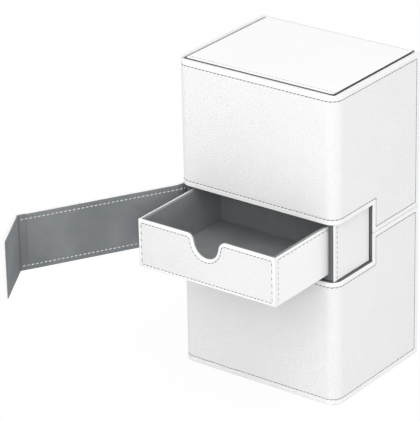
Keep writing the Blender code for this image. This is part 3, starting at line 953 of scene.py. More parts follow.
@dataclass
class Cover:
    """One block's cover: a ribbed skin folded over a stiff board, with a sewn border all round."""

    plan: CasePlan
    block: Block
    nodes: dict[str, bpy.types.Object]
    seam: Seam = Seam(upright=Row(0.00155, 0.00125))
    skin: float = 0.0008
    border: float = 0.0029
    groove: Groove = Groove()
    field_depth: float = 0.00012
    lip: float = 0.0008
    rim_edge: float = 0.0002
    rim_stretch: float = 1.12
    lip_corner: float = 0.0009
    outer_rim_edge: float = 0.00055
    inner_rim_edge: float = 0.0002
    rim_zone: float = 0.0012
    other_edge: float = 0.00028
    board_gap: float = 0.0003
    corner_segments: int = 12

    def __post_init__(self) -> None:
        """Works out the levels of this block's rim, bay edge and seam edge."""
        low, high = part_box(f"{self.block.value}_cover_skin")
        upper = self.block is Block.UPPER
        self.up = 1.0 if upper else -1.0
        self.rim, self.tail = (high.z, low.z) if upper else (low.z, high.z)
        self.bay = self.plan.bay_roof if upper else self.plan.bay_floor

    def outline(self, inset: float) -> list[Plan]:
        """The cover's flat outline, at an inset, as lengths along the wrap and levels."""
        rear, notch = self.plan.run(self.plan.rear) - inset, self.plan.run(self.plan.notch_rear) + inset
        rim = self.rim - self.up * inset * self.rim_stretch
        bay, tail = self.bay + self.up * inset, self.tail + self.up * inset
        half = [(notch, bay), (notch, tail), (rear, tail), (rear, rim)]
        return [*half, *[(-run, level) for run, level in reversed(half)], half[0]]

    def spot(self, point: Plan) -> tuple[Vector, Vector]:
        """Place and way out at a flat point, at the bottom of the seam's groove."""
        x, y, out = self.plan.wrap(point[0])
        return Vector((x, y, point[1])) - out * self.groove.bed, out

    def depth(self, place: Vector) -> float:
        """How far a point lies under the skin's outer surface."""
        x, y, out = self.plan.wrap(self.plan.unwrap(place))
        return (Vector((x, y, place.z)) - place).dot(out)

    def build(self) -> None:
        """Models the skin, its stitches and the board behind it."""
        plan, up = self.plan, self.up
        name = self.block.value
        low, high = sorted((self.rim, self.tail))
        piece = Workpiece.cuboid(
            f"{name}_cover", (-plan.half_width, plan.front, low), (plan.half_width, plan.rear, high)
        )
        with piece.editing():
            piece.remove_faces(lambda f: abs(f.normal.z) > 0.9 or f.normal.y > 0.9)
            piece.round_edges(
                lambda e: both_at(e, 1, plan.front) and even(e, 0),
                plan.corner, self.corner_segments,
            )
            self._cut_lines(piece)
            piece.remove_faces(
                lambda f: f.calc_center_median().y < plan.notch_rear
                and (f.calc_center_median().z - self.bay) * up < 0
            )
            self._press(piece)
        piece.thicken(self.skin)
        with piece.editing():
            self._fold_rim(piece)
        seam_path = self.outline(self.border)
        edge = self.outline(self.rim_edge)
        ribs = dict(half_front=plan.half_front, corner_y=plan.front + plan.corner, corner=plan.corner)

        def faces_out(face: bpy.types.MeshPolygon) -> bool:
            """Whether a face belongs to the skin's outer side."""
            return face.normal.dot(plan.wrap(plan.unwrap(face.center))[2]) > 0.9

        def flat(face: bpy.types.MeshPolygon) -> Plan:
            """A face's place on the flat leather."""
            return plan.unwrap(face.center), face.center.z

        piece.finish(
            ChevronLeatherette(**ribs), "case", [f"{name}_cover_skin"],
            [
                # Painted shade on the groove's floor.
                (GROOVE_SHADE, lambda f: faces_out(f) and self.groove.holds(flat(f), seam_path)),
                # Painted shade on the rim's end face.
                (SHADED_RIM, lambda f: f.normal.z * up > 0.5),
                (SMOOTH, lambda f: not faces_out(f) or not inside(flat(f), edge)),
                # Painted highlight: a paler copy of the ribs for the border, with less painted shade in its shallower
                # furrows.
                (
                    ChevronLeatherette(
                        "lit_chevron_border", ridge=(0.93, 0.93, 0.93), furrow=(0.72, 0.72, 0.722),
                        depth=0.00008, **ribs,
                    ),
                    lambda f: not inside(flat(f), seam_path),
                ),
            ],
            angle=40,
        )
        self.seam.sew(f"{name}_cover_stitches", self.seam.walk(seam_path, self.spot), GREY_THREAD, "case")
        self._build_board()

    def _cut_lines(self, piece: Workpiece) -> None:
        """Cuts the edges that the notch, the folds and the seam's groove follow."""
        up, plan, border = self.up, self.plan, self.border
        piece.cut(2, self.rim - up * self.lip, self.bay)
        rows = (self.rim - up * border * self.rim_stretch, self.bay + up * border, self.tail + up * border)
        self.groove.cut(piece, 2, *rows)
        piece.cut(1, plan.notch_rear, plan.rear - self.lip)
        self.groove.cut(piece, 1, plan.notch_rear + border, plan.rear - border)

    def _press(self, piece: Workpiece) -> None:
        """Presses the ribbed field a little below its border, and the seam deeper still."""
        seam_path = self.outline(self.border)

        def is_seam(vert: Any) -> bool:
            """Whether a vertex lies at the bottom of the seam's channel."""
            return self.groove.holds((self.plan.unwrap(vert.co), vert.co.z), seam_path)

        piece.pick(
            Pick.VERTS, lambda v: inside((self.plan.unwrap(v.co), v.co.z), seam_path) and not is_seam(v)
        )
        piece.swell(-self.field_depth)
        piece.pick(Pick.VERTS, is_seam)
        piece.swell(-self.groove.depth)

    def _fold_rim(self, piece: Workpiece) -> None:
        """Folds the skin over the board at the rim and the rear edges, and rounds every edge."""
        plan, up = self.plan, self.up

        def is_fold(face: Any) -> bool:
            """Whether a face is the strip of the inner side that the fold grows from."""
            middle = face.calc_center_median()
            inward = face.normal.dot(plan.wrap(plan.unwrap(middle))[2]) < -0.7
            return inward and ((self.rim - middle.z) * up < self.lip or plan.rear - middle.y < self.lip)

        piece.pick(Pick.FACES, is_fold)
        bpy.ops.mesh.extrude_region_shrink_fatten(
            TRANSFORM_OT_shrink_fatten={"value": plan.wall - self.skin, "use_even_offset": True}
        )
        self._square_lip(piece)

        def is_rim(edge: Any, outer: bool) -> bool:
            """Whether an edge is a sharp outer or inner edge of the fold."""
            rim = both_at(edge, 2, self.rim) or both_at(edge, 1, plan.rear)
            return rim and sharp(edge) and all((self.depth(v.co) < 1e-4) is outer for v in edge.verts)

        piece.round_edges(lambda e: is_rim(e, True), self.outer_rim_edge, 3)
        piece.round_edges(lambda e: is_rim(e, False), self.inner_rim_edge, 2)
        piece.round_edges(
            lambda e: sharp(e, 80) and not any(abs(v.co.z - self.rim) < self.rim_zone for v in e.verts)
            and not any(plan.rear - v.co.y < self.rim_zone for v in e.verts),
            self.other_edge, 2,
        )

    def _square_lip(self, piece: Workpiece) -> None:
        """Draws the rim's inner corners out, so that they are tighter than the outer ones."""
        plan, radius = self.plan, self.plan.corner - self.plan.wall
        flat, quarter = radius - self.lip_corner, self.lip_corner * math.pi / 2
        for step in range(1, self.corner_segments):
            angle = math.pi / 2 * step / self.corner_segments
            length = (flat * 2 + quarter) * step / self.corner_segments
            turn = min(max(length - flat, 0.0), quarter) / self.lip_corner
            target = Vector((
                flat + self.lip_corner * math.sin(turn) if length > flat else length,
                flat + self.lip_corner * math.cos(turn) if length < flat + quarter else flat * 2 + quarter - length,
            ))
            old = Vector((radius * math.sin(angle), radius * math.cos(angle)))
            for side in (-1, 1):
                corner = Vector((side * (plan.half_front + old.x), plan.front + plan.corner - old.y))
                piece.pick(
                    Pick.VERTS,
                    lambda v: (v.co.xy - corner).length < 1e-4 and abs(v.co.z - self.rim) < self.rim_zone,
                )
                piece.move((side * (target.x - old.x), old.y - target.y, 0))

    def _build_board(self) -> None:
        """The board behind the skin, drawn back under the folded rim."""
        name, shift = self.block.value, self.lip + self.board_gap
        board = Workpiece.copy_of(f"{name}_cover_board", f"{name}_cover_stiffener", self.nodes)
        with board.editing():
            board.pick(Pick.VERTS, lambda v: near(v.co.z, self.rim))
            board.move((0, 0, -self.up * shift))
            board.pick(Pick.VERTS, lambda v: near(v.co.y, self.plan.rear))
            board.move((0, -shift, 0))
        board.finish(DARK_WRAP_AND_SHADE, "case", [f"{name}_cover_board"])


@dataclass
class Lid:
    """A lid: a wrapped plate with a mitred fold at the rear, a sewn front edge and a soft lining."""

    plan: CasePlan
    block: Block
    left_trim: float = 0.0001
    right_trim: float = 0.0014
    front_trim: float = 0.0008
    corner: float = 0.0020
    corner_steps: int = 8
    first_ring: int = 3
    crease_inset: float = 0.0030
    rear_crease: float = 0.0011
    groove: Groove = Groove(0.0006, 0.0003, 0.00023)
    edge: float = 0.00016
    edge_reach: float = 0.0014
    roll: float = 0.0003
    lining_inset: float = 0.0004
    lining_edge: float = 0.0001
    seam_end: float = 0.002
    seam: Seam = Seam(Row(0.0025, 0.0017), width=0.0004)

    def __post_init__(self) -> None:
        """Reads the plate's levels."""
        self.prefix = "top_lid" if self.block is Block.UPPER else "bottom_lid"
        self.up = 1.0 if self.block is Block.UPPER else -1.0
        self.outer = self.plan.height if self.block is Block.UPPER else 0.0
        low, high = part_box(f"{self.prefix}_skin")
        self.left, self.right = low.x + self.left_trim, high.x - self.right_trim
        self.front = low.y + self.front_trim
        low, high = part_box(f"{self.prefix}_lining")
        self.lining = (low.z, high.z)
        self.inner = high.z if self.block is Block.UPPER else low.z

    def build(self) -> None:
        """Models the plate, its lining and its seams."""
        plan, up = self.plan, self.up
        low, high = sorted((self.inner, self.outer))
        corners = (self.left, self.front, low), (self.right, plan.rear, high)
        piece = Workpiece.cuboid(f"{self.prefix}_plate", *corners)
        lines = (self.front + self.crease_inset, plan.rear - self.rear_crease)

        def in_crease(place: Vector) -> bool:
            """Whether a place lies at the bottom of a crease."""
            return any(near(place.y, line, self.groove.core * 1.3) for line in lines)

        def at_top(vertex: bmesh.types.BMVert) -> bool:
            """Whether a vertex belongs to the outer face, also where that rolls down."""
            return (self.outer - vertex.co.z) * up < self.edge_reach

        with piece.editing():
            piece.slice_off((0, plan.rear, self.outer), (0, 1, -up))
            piece.round_edges(
                lambda e: both_at(e, 1, self.front) and even(e, 0),
                self.corner, self.corner_steps,
            )
            rings = self._rings()
            insets = [inset for inset, _ in rings[self.first_ring:]]
            piece.cut(0, *[self.left + inset for inset in insets], *[self.right - inset for inset in insets])
            self.groove.cut(piece, 1, *lines)
            piece.pick(
                Pick.VERTS,
                lambda v: in_crease(v.co) and at_top(v) and self.left + EPS < v.co.x < self.right - EPS,
            )
            piece.move((0, 0, -up * self.groove.depth))
            for inset, drop in rings:
                piece.pick(
                    Pick.VERTS,
                    lambda v: not self.left + inset + EPS < v.co.x < self.right - inset - EPS and at_top(v),
                )
                piece.move((0, 0, -up * drop))
            piece.round_edges(
                lambda e: sum(abs(f.normal.z) < 0.1 for f in e.link_faces) == 1
                and all(at_top(v) for v in e.verts),
                self.edge, 2,
            )
        # Painted shade: the plate in the darker lid leatherette.
        piece.finish(
            SHADED_LID, self.prefix, [f"{self.prefix}_skin", f"{self.prefix}_board"],
            [
                # Painted shade along the creases.
                (CREASE_SHADE, lambda f: in_crease(f.center) and f.normal.z * up > 0.7),
                # Painted shade: the plate's edges dark, for the gap round the lid.
                (DARK_WRAP_AND_SHADE, lambda f: abs(f.normal.z) < 0.1),
                (LINING, lambda f: f.normal.y > 0.5 and f.normal.z * up < -0.3),
            ],
        )
        self._sew(lines)
        self._line()

    def _rings(self) -> list[tuple[float, float]]:
        """How the side edges roll down.

        Returns:
            Insets of the round corner's own vertices from the side, and how far each drops more than the next.
        """
        turns = [step / self.corner_steps * math.pi / 2 for step in range(self.corner_steps + 1)]
        insets = [self.corner * (1 - math.cos(turn)) for turn in turns]
        drops = [self.roll * (1 - inset / self.corner) ** 2 for inset in insets]
        return [(insets[i], drops[i] - drops[i + 1]) for i in range(self.corner_steps)] + [(insets[-1], 0.0)]

    def _sew(self, lines: Sequence[float]) -> None:
        """Stitches along the creases."""
        seats, ends = [], (self.left + self.seam_end, self.right - self.seam_end)

        def spot(point: Plan) -> tuple[Vector, Vector]:
            """Place and way out on the plate."""
            level = self.outer - self.up * self.groove.bed
            return Vector((point[0], point[1], level)), Vector((0, 0, self.up))

        for line in lines:
            seats += self.seam.walk([(ends[0], line), (ends[1], line)], spot)
        self.seam.sew(f"{self.prefix}_stitches", seats, PALE_THREAD, self.prefix)

    def _line(self) -> None:
        """The microfibre sheet inside the lid."""
        rear = self.plan.rear - self.plan.wall - self.lining_inset
        piece = Workpiece.cuboid(
            f"{self.prefix}_liner",
            (self.left + self.lining_inset, self.front + self.lining_inset, self.lining[0]),
            (self.right - self.lining_inset, rear, self.lining[1]),
        )
        with piece.editing():
            piece.round_edges(
                lambda e: even(e, 0) and even(e, 1)
                and e.verts[0].co.y < 0,
                self.corner - self.lining_inset, 6,
            )
            piece.round_edges(sharp, self.lining_edge, 2)
        piece.finish(LINING, self.prefix, [f"{self.prefix}_lining"])


@dataclass
class Spine:
    """The back panel, mitred into both lids, with a sewn border."""

    plan: CasePlan
    border: float = 0.0029
    groove: Groove = Groove()

    def build(self) -> None:
        """Models the panel and its seams."""
        plan = self.plan
        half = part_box("spine_skin")[1].x
        front = plan.rear - plan.wall
        piece = Workpiece.cuboid("spine_panel", (-half, front, 0), (half, plan.rear, plan.height))
        path = [
            (-half + self.border, self.border), (half - self.border, self.border),
            (half - self.border, plan.height - self.border), (-half + self.border, plan.height - self.border),
            (-half + self.border, self.border),
        ]
        with piece.editing():
            piece.slice_off((0, plan.rear, plan.height), (0, -1, 1))
            piece.slice_off((0, plan.rear, 0), (0, -1, -1))
            piece.round_edges(
                lambda e: near(abs(e.verts[0].co.x), half) and even(e, 0)
                and both_at(e, 1, plan.rear),
                0.0007, 3,
            )
            self.groove.cut(piece, 0, -half + self.border, half - self.border)
            self.groove.cut(piece, 2, self.border, plan.height - self.border)
            piece.pick(
                Pick.VERTS,
                lambda v: near(v.co.y, plan.rear) and self.groove.holds((v.co.x, v.co.z), path),
            )
            piece.move((0, -self.groove.depth, 0))
        piece.finish(
            SMOOTH, "case", ["spine_skin", "spine_board", "top_lid_fold", "bottom_lid_fold"],
            [
                # Painted shade on the groove's floor.
                (GROOVE_SHADE, lambda f: f.normal.y > 0.9 and self.groove.holds((f.center.x, f.center.z), path)),
                (LINING, lambda f: f.normal.y < -0.3),
            ],
        )

        def spot(point: Plan) -> tuple[Vector, Vector]:
            """Place and way out on the panel."""
            return Vector((point[0], plan.rear - self.groove.bed, point[1])), Vector((0, 1, 0))

        seam = Seam()
        seam.sew("spine_stitches", seam.walk(path, spot), GREY_THREAD, "case")


@dataclass
class Drawer:
    """The drawer: a sewn front panel with the thumb notch, a wrap round its other sides, and a lined tray."""

    nodes: dict[str, bpy.types.Object]
    border: float = 0.0019
    groove: Groove = Groove(0.0004, 0.00012, 0.00026)
    field_depth: float = 0.00010
    edge: float = 0.0007
    turn_in: float = 0.0012
    notch_depth: float = 0.0123
    floor_radius: float = 0.0083
    shoulder_radius: float = 0.0042
    slope: float = math.radians(14)
    side_row: float = 0.0036
    wall: float = 0.0017
    back_edge: float = 0.0005
    liner_edge: float = 0.0003
    liner_rise: float = 0.0003
    fit: float = 0.0001
    overrun: float = 0.001
    seam_end: float = 0.002

    def __post_init__(self) -> None:
        """Reads the drawer's faces from the frame."""
        low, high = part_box("drawer_front_skin")
        self.half, self.front, self.base, self.top = high.x, low.y, low.z, high.z
        self.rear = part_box("drawer_back_skin")[1].y
        self.board_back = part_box("drawer_tray")[0].y + 0.0011
        self.side_start = self.board_back + 0.0001

    def notch(self, offset: float = 0.0) -> list[Plan]:
        """The thumb notch's outline in front view, from left rim to right rim, at an offset into the panel."""
        reach = self.floor_radius + self.shoulder_radius
        floor_z = self.top - self.notch_depth + self.floor_radius
        shoulder_z = self.top - self.shoulder_radius
        rise = shoulder_z - floor_z + reach * math.sin(self.slope)
        shoulder_x = reach * math.cos(self.slope) + rise * math.tan(self.slope)
        small, large = self.shoulder_radius - offset, self.floor_radius + offset
        left = arc((-shoulder_x, shoulder_z), small, math.pi / 2, self.slope, 9)
        floor = arc((0, floor_z), large, math.pi + self.slope, 2 * math.pi - self.slope, 18)
        right = arc((shoulder_x, shoulder_z), small, math.pi - self.slope, math.pi / 2, 9)
        return [*left, *floor, *right]

    def build(self) -> None:
        """Models all of the drawer."""
        self._build_front()
        self._build_wrap()
        self._build_tray()

    def _build_front(self) -> None:
        """The front panel, with its border, groove and notch, and its stitches."""
        piece = Workpiece.copy_of("drawer_front_skin", "drawer_front", self.nodes)
        with piece.editing():
            piece.pick(Pick.FACES, lambda f: f.normal.y > 0.9)
            piece.move((0, self.board_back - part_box("drawer_front_skin")[1].y, 0))
            piece.pick(Pick.FACES, lambda f: f.normal.y < -0.9)
            bpy.ops.mesh.inset(thickness=self.border - self.groove.half, use_even_offset=True)
            bpy.ops.mesh.inset(thickness=self.groove.half - self.groove.core, use_even_offset=True)
            piece.move((0, self.groove.depth, 0))
            bpy.ops.mesh.inset(thickness=self.groove.core * 2, use_even_offset=True)
            bpy.ops.mesh.inset(thickness=self.groove.half - self.groove.core, use_even_offset=True)
            piece.move((0, self.field_depth - self.groove.depth, 0))
            piece.round_edges(
                lambda e: sharp(e) and both_at(e, 1, self.front), self.edge, 3
            )
            piece.round_edges(
                lambda e: sharp(e) and both_at(e, 1, self.board_back)
                and all(v.co.z > self.base + self.edge for v in e.verts), self.back_edge, 2,
            )
            turn, half_core = self.front + self.turn_in, self.groove.core
            piece.cut(1, turn - half_core, turn + half_core)
        left, right = -self.half + self.border, self.half - self.border
        top, low = self.top - self.border, self.base + self.border
        path = [(left, top), *self.notch(self.border), (right, top), (right, low), (left, low), (left, top)]
        bottom = self.front + self.groove.depth
        # Painted shade: the drawer front in darker ribs than the cover's.
        piece.finish(
            SHADED_DRAWER_RIBS, "drawer", ["drawer_front_skin"],
            [
                # Painted shade on the groove's floor.
                (GROOVE_SHADE, lambda f: f.normal.y < -0.95 and near(f.center.y, bottom, 4e-5)),
                # Painted shade along the turn-in line.
                (CREASE_SHADE, lambda f: abs(f.normal.x) > 0.9 and near(f.center.y, self.front + self.turn_in, 1e-4)),
                (SMOOTH, lambda f: f.normal.y > -0.95),
                # Painted highlight on the border's ribs.
                (LIT_DRAWER_RIB_BORDER, lambda f: f.area < 0.0005),
            ],
        )

        def spot(point: Plan) -> tuple[Vector, Vector]:
            """Place and way out on the front."""
            return Vector((point[0], self.front + self.groove.bed, point[1])), Vector((0, -1, 0))

        seam = Seam(Row(0.00245, 0.0016), Row(0.0038, 0.0016))
        seam.sew("drawer_front_stitches", seam.walk(path, spot), GREY_THREAD, "drawer")

    def _build_wrap(self) -> None:
        """The smooth wrap round the left, rear and right walls."""
        piece = Workpiece.cuboid(
            "drawer_wrap", (-self.half, self.side_start, self.base), (self.half, self.rear, self.top)
        )
        top_line, row = self.top - self.border, self.front + self.side_row
        path = [(row, self.base), (row, top_line), (self.rear, top_line)]
        with piece.editing():
            piece.remove_faces(lambda f: abs(f.normal.z) > 0.9 or f.normal.y < -0.9)
            piece.round_edges(
                lambda e: both_at(e, 1, self.rear) and even(e, 0),
                0.0012, 4,
            )
            self.groove.cut(piece, 2, top_line)
            self.groove.cut(piece, 1, row)
            piece.pick(Pick.VERTS, lambda v: self.groove.holds((v.co.y, v.co.z), path))
            piece.swell(-self.groove.depth)
        piece.thicken(0.0007)
        with piece.editing():
            piece.round_edges(lambda e: sharp(e) and both_at(e, 2, self.top), 0.0003, 3)
        piece.finish(
            SMOOTH, "drawer", ["drawer_left_skin", "drawer_right_skin", "drawer_back_skin"],
            [(
                GROOVE_SHADE,
                lambda f: self.groove.holds((f.center.y, f.center.z), path) and f.normal.x * f.center.x > 0,
            )],
        )
        seam, seats = Seam(Row(0.0036, 0.0017), Row(0.0029, 0.0013)), []
        for side in (-1, 1):

            def spot(point: Plan, x: float = side * self.half, out: float = side) -> tuple[Vector, Vector]:
                """Place and way out on a side wall."""
                return Vector((x - out * self.groove.bed, point[0], point[1])), Vector((out, 0, 0))

            corner_path = [(row, self.base + self.border), (row, top_line), (self.rear - self.seam_end, top_line)]
            seats += seam.walk(corner_path, spot)
        seam.sew("drawer_side_stitches", seats, GREY_THREAD, "drawer")

    def _build_tray(self) -> None:
        """The stiff tray inside the wraps, lined with microfibre, open at the thumb notch."""
        low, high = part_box("drawer_tray")
        gap = self.fit
        front, rim = self.board_back + gap, high.z - gap
        piece = Workpiece.cuboid("drawer_liner", (low.x + gap, front, low.z), (high.x - gap, high.y - gap, rim))
        inner_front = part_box("drawer_lining")[0].y + self.liner_rise
        floor_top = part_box("drawer_lining")[0].z + self.liner_rise
        with piece.editing():
            piece.pick(Pick.FACES, lambda f: f.normal.z > 0.9)
            bpy.ops.mesh.inset(thickness=self.wall, use_even_offset=True)
            piece.pick(Pick.VERTS, lambda v: near(v.co.z, rim) and near(v.co.y, front + self.wall))
            piece.move((0, inner_front - front - self.wall, 0))
            piece.pick(
                Pick.FACES,
                lambda f: f.normal.z > 0.9 and all(abs(v.co.x) < high.x - self.wall * 0.9 for v in f.verts),
            )
            bpy.ops.mesh.extrude_region_move(TRANSFORM_OT_translate={"value": (0, 0, floor_top - rim)})
        cutter = self._notch_cutter(inner_front)
        piece.carve(cutter)
        with piece.editing():
            piece.round_edges(
                lambda e: sharp(e) and both_at(e, 2, rim)
                and not all(v.co.y < inner_front + EPS for v in e.verts),
                self.liner_edge, 2,
            )
        # Painted light: the tray lined in the lighter microfibre.
        piece.finish(
            LIT_DRAWER_LINING, "drawer", ["drawer_tray", "drawer_lining"], [(BOARD, lambda f: f.normal.z < -0.9)],
            angle=30,
        )

    def _notch_cutter(self, inner_front: float) -> Workpiece:
        """A solid of the thumb notch, to cut the tray's front: a block less the drawn-out front panel."""
        reach, over = self.notch()[-1][0], self.overrun
        front, rear = self.board_back - over, inner_front + over
        panel = Workpiece.copy_of("drawer_front_skin", "notch_mould", self.nodes)
        with panel.editing():
            for way, level in ((-1, front - over), (1, rear + over)):
                panel.pick(Pick.FACES, lambda f: f.normal.y * way > 0.9)
                bpy.ops.transform.resize(value=(1, 0, 1), center_override=(0, level, 0))
        low = (-reach, front, self.top - self.notch_depth - over)
        block = Workpiece.cuboid("notch_cutter", low, (reach, rear, self.top + over))
        block.carve(panel)
        return block


@dataclass
class Strip:
    """A flat stretch of the flap's strip, as it stands: its own frame and size."""

    start: Vector
    along: Vector
    across: Vector
    length: float
    low: float
    high: float

    @classmethod
    def from_nodes(cls, skin: bpy.types.Object, lining: bpy.types.Object, hinge: Vector) -> "Strip":
        """Reads a stretch from its skin and lining.

        Args:
            skin: the node on the strip's outer side.
            lining: the node on its inner side.
            hinge: a plan point near the end that the stretch starts from.

        Returns:
            The stretch, with its start at the outer face's corner.
        """
        corners = []
        for vert in skin.data.vertices:
            flat = Vector((vert.co.x, vert.co.y, 0))
            if all((flat - other).length > 1e-5 for other in corners):
                corners.append(flat)
        places = [Vector((v.co.x, v.co.y, 0)) for v in lining.data.vertices]
        middle = sum(places, Vector()) / len(places)
        flat_hinge = Vector((hinge.x, hinge.y, 0))
        centre = sum(corners, Vector()) / len(corners)
        first = min(corners, key=lambda p: (p - flat_hinge).length)
        far = max(corners, key=lambda p: (p - first).length)
        others = [p for p in corners if p not in (first, far)]
        long_end = max(others, key=lambda p: (p - first).length)
        along = (long_end - first).normalized()
        across = (middle - centre) - along * (middle - centre).dot(along)
        across.normalize()
        start = min(corners, key=lambda p: (p - centre).dot(along) + (p - centre).dot(across) * 10)
        levels = [v.co.z for v in skin.data.vertices]
        return cls(start, along, across, (long_end - first).length, min(levels), max(levels))

    def draw_back(self, distance: float) -> None:
        """Lets the stretch begin earlier."""
        self.start = self.start - self.along * distance
        self.length += distance

    def matrix(self) -> Matrix:
        """The stretch's own frame: X along it, Y towards its lining, Z up."""
        matrix = Matrix((self.along, self.across, Vector((0, 0, 1)))).transposed().to_4x4()
        matrix.translation = self.start
        return matrix


@dataclass(frozen=True)
class Bend:
    """A round bend at the crossing of two stretches' middle lines, in the first stretch's own frame."""

    matrix: Matrix
    straight: float
    half: float
    angle: float
    radius: float
    way: float
    lag: float

    @classmethod
    def between(cls, before: Strip, after: Strip, thickness: float, tangent: float) -> "Bend":
        """Works out a bend.

        Args:
            before: the stretch that it starts from.
            after: the stretch that it leads to.
            thickness: the strip's thickness.
            tangent: the distance from the crossing at which the bend starts and ends.

        Returns:
            The bend; its lag is how far short of the second stretch it ends.
        """
        half = thickness / 2
        offset = after.start + after.across * half - before.start - before.across * half
        turn = before.along.cross(after.along).z
        crossing = offset.cross(after.along).z / turn
        angle = before.along.angle(after.along)
        return cls(
            before.matrix(), crossing - tangent, half, angle, tangent / math.tan(angle / 2),
            math.copysign(1.0, turn),
            (offset - before.along * crossing).dot(after.along) - tangent,
        )

    @property
    def centre(self) -> tuple[float, float, float]:
        """The point that the bend turns about."""
        return self.straight, self.half + self.way * self.radius, 0.0

    @property
    def end(self) -> float:
        """The length along the middle line at which the bend ends."""
        return self.straight + self.radius * self.angle

    def spot(self, run: float, depth: float, level: float, side: float) -> tuple[Vector, Vector]:
        """A point on or before the bend.

        Args:
            run: the length along the middle line.
            depth: the distance from the strip's outer face.
            level: the height.
            side: 1 for the lining's way out, -1 for the skin's.

        Returns:
            The place and the way out there.
        """
        turned = max(0.0, run - self.straight) / self.radius
        across = Vector((-self.way * math.sin(turned), math.cos(turned), 0))
        middle = Vector((
            min(run, self.straight) + self.radius * math.sin(turned),
            self.half + self.way * self.radius * (1 - math.cos(turned)), level,
        ))
        return self.matrix @ (middle + across * (depth - self.half)), self.matrix.to_3x3() @ (across * side)

    def bridge(self, first: str, second: str) -> Bridge:
        """The bridge that a soft piece along this bend bends over."""
        return Bridge(
            first, second, self.spot(self.straight, self.half, 0, 1)[0], self.spot(self.end, self.half, 0, 1)[0]
        )


@dataclass
class Flap:
    """The wrap-round flap: its fixed end, its panel, its folding tab, and the soft folds between them."""

    plan: CasePlan
    nodes: dict[str, bpy.types.Object]
    joints: dict[str, Vector]
    thickness: float = 0.0023
    lining: float = 0.0005
    border: float = 0.0029
    groove: Groove = Groove(0.0004, 0.00015, 0.00018)
    seam: Seam = Seam(Row(0.0025, 0.0016))
    edge: float = 0.0006
    fold_recess: float = 0.00018
    # crease: how far from the bend's middle the painted shade of the crease reaches.
    crease: float = 0.0005
    corner_tangent: float = 0.0026
    tab_tangent: float = 0.0015
    lining_inset: float = 0.0002
    lining_edge: float = 0.0003
    fold_inset: float = 0.0001
    fold_lap: float = 0.0002
    fold_steps: int = 14
    anchor_edge: float = 0.0004

    def build(self) -> None:
        """Models the whole strip."""
        low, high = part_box("flap_anchor_skin")
        panel = Strip.from_nodes(self.nodes["flap_skin"], self.nodes["flap_lining"], self.joints["flap_hinge"])
        tab = Strip.from_nodes(self.nodes["tab_skin"], self.nodes["tab_lining"], self.joints["tab_fold"])
        anchor = Strip(
            Vector((-self.plan.half_width, high.y, 0)), Vector((0, -1, 0)), Vector((1, 0, 0)), high.y - low.y,
            panel.low, panel.high,
        )
        corner = Bend.between(anchor, panel, self.thickness, self.corner_tangent)
        panel.draw_back(corner.lag)
        fold = Bend.between(panel, tab, self.thickness, self.tab_tangent)
        tab.draw_back(fold.lag)
        self._build_anchor(anchor)
        self._build_fold("corner_fold", anchor, corner, "flap_corner_fold", corner.bridge("case", "flap"))
        self._build_panel("flap", panel, ["flap_skin", "flap_board"], "flap_lining", False)
        self._build_fold("tab_fold", panel, fold, "tab_fold_strip", fold.bridge("flap", "tab"))
        self._build_panel("tab", tab, ["tab_skin", "tab_board"], "tab_lining", True)
        self._sew("corner_fold", corner, anchor.length, corner.end, anchor, corner.bridge("case", "flap"))
        self._sew("flap", fold, 0.0, fold.straight, panel, "flap")

    def _finish_for(self, name: str, strip: Strip) -> RibbedLeatherette:
        """Ribs that climb along a stretch."""
        return RibbedLeatherette(f"ribbed_{name}", (strip.along.x, strip.along.y, 1.0))

    def _build_panel(self, name: str, strip: Strip, replaced: Sequence[str], lining: str, last: bool) -> None:
        """A stiff stretch: the skin folded round its board, the lining laid on, and stitches along both edges.

        Args:
            name: the stretch's name, which is also its body's.
            strip: where it stands.
            replaced: the CAD nodes that the wrapped board stands for.
            lining: the CAD node that the lining stands for.
            last: whether its far end is the strip's free end.
        """
        matrix = strip.matrix()
        board = Workpiece.cuboid(
            f"{name}_panel", (0, 0, strip.low), (strip.length, self.thickness - self.lining, strip.high)
        )
        lines = (strip.low + self.border, strip.high - self.border)

        def in_row(place: Vector) -> bool:
            """Whether a place lies at the bottom of a row's channel."""
            return any(near(place.z, line, self.groove.core * 1.3) for line in lines)

        with board.editing():
            board.round_edges(
                lambda e: even(e, 1) and even(e, 2), self.edge, 3
            )
            if last:
                board.round_edges(
                    lambda e: sharp(e) and both_at(e, 0, strip.length), self.edge * 0.8, 3
                )
            self.groove.cut(board, 2, *lines)
            board.pick(Pick.VERTS, lambda v: in_row(v.co) and near(v.co.y, 0))
            board.move((0, self.groove.depth, 0))
        board.put(matrix)
        board.finish(self._finish_for(name, strip), name, replaced)

        sheet = Workpiece.cuboid(
            f"{name}_liner", (0, self.thickness - self.lining, strip.low + self.lining_inset),
            (strip.length - (self.lining_edge if last else 0), self.thickness, strip.high - self.lining_inset),
        )
        with sheet.editing():
            sheet.round_edges(
                lambda e: both_at(e, 1, self.thickness) and even(e, 2),
                self.lining_edge, 3,
            )
            if not last:
                self.groove.cut(sheet, 2, *lines)
                sheet.pick(Pick.VERTS, lambda v: in_row(v.co) and near(v.co.y, self.thickness))
                sheet.move((0, -self.groove.depth, 0))
        sheet.put(matrix)
        sheet.finish(LINING, name, [lining])

    def _sew(
        self, name: str, bend: Bend, start: float, end: float, strip: Strip, body: str | Bridge
    ) -> None:
        """White stitches on the lining and grey ones on the skin.

        Args:
            name: the name that the seams' own begin with.
            bend: the bend that ends the stretch.
            start: where the rows start.
            end: where the rows end.
            strip: the stretch.
            body: what the stitches move with.
        """
        for side, out, thread in (("inner", 1.0, WHITE_THREAD), ("outer", -1.0, GREY_THREAD)):
            seats = []
            for line in (strip.low + self.border, strip.high - self.border):

                def spot(point: Plan, way: float = out) -> tuple[Vector, Vector]:
                    """Place and way out on one face of the strip."""
                    sunk = self.groove.bed if point[0] < strip.length else self.fold_recess
                    return bend.spot(point[0], self.thickness - sunk if way > 0 else sunk, point[1], way)

                seats += self.seam.walk([(start, line), (end, line)], spot)
            self.seam.sew(f"{name}_{side}_stitches", seats, thread, body)

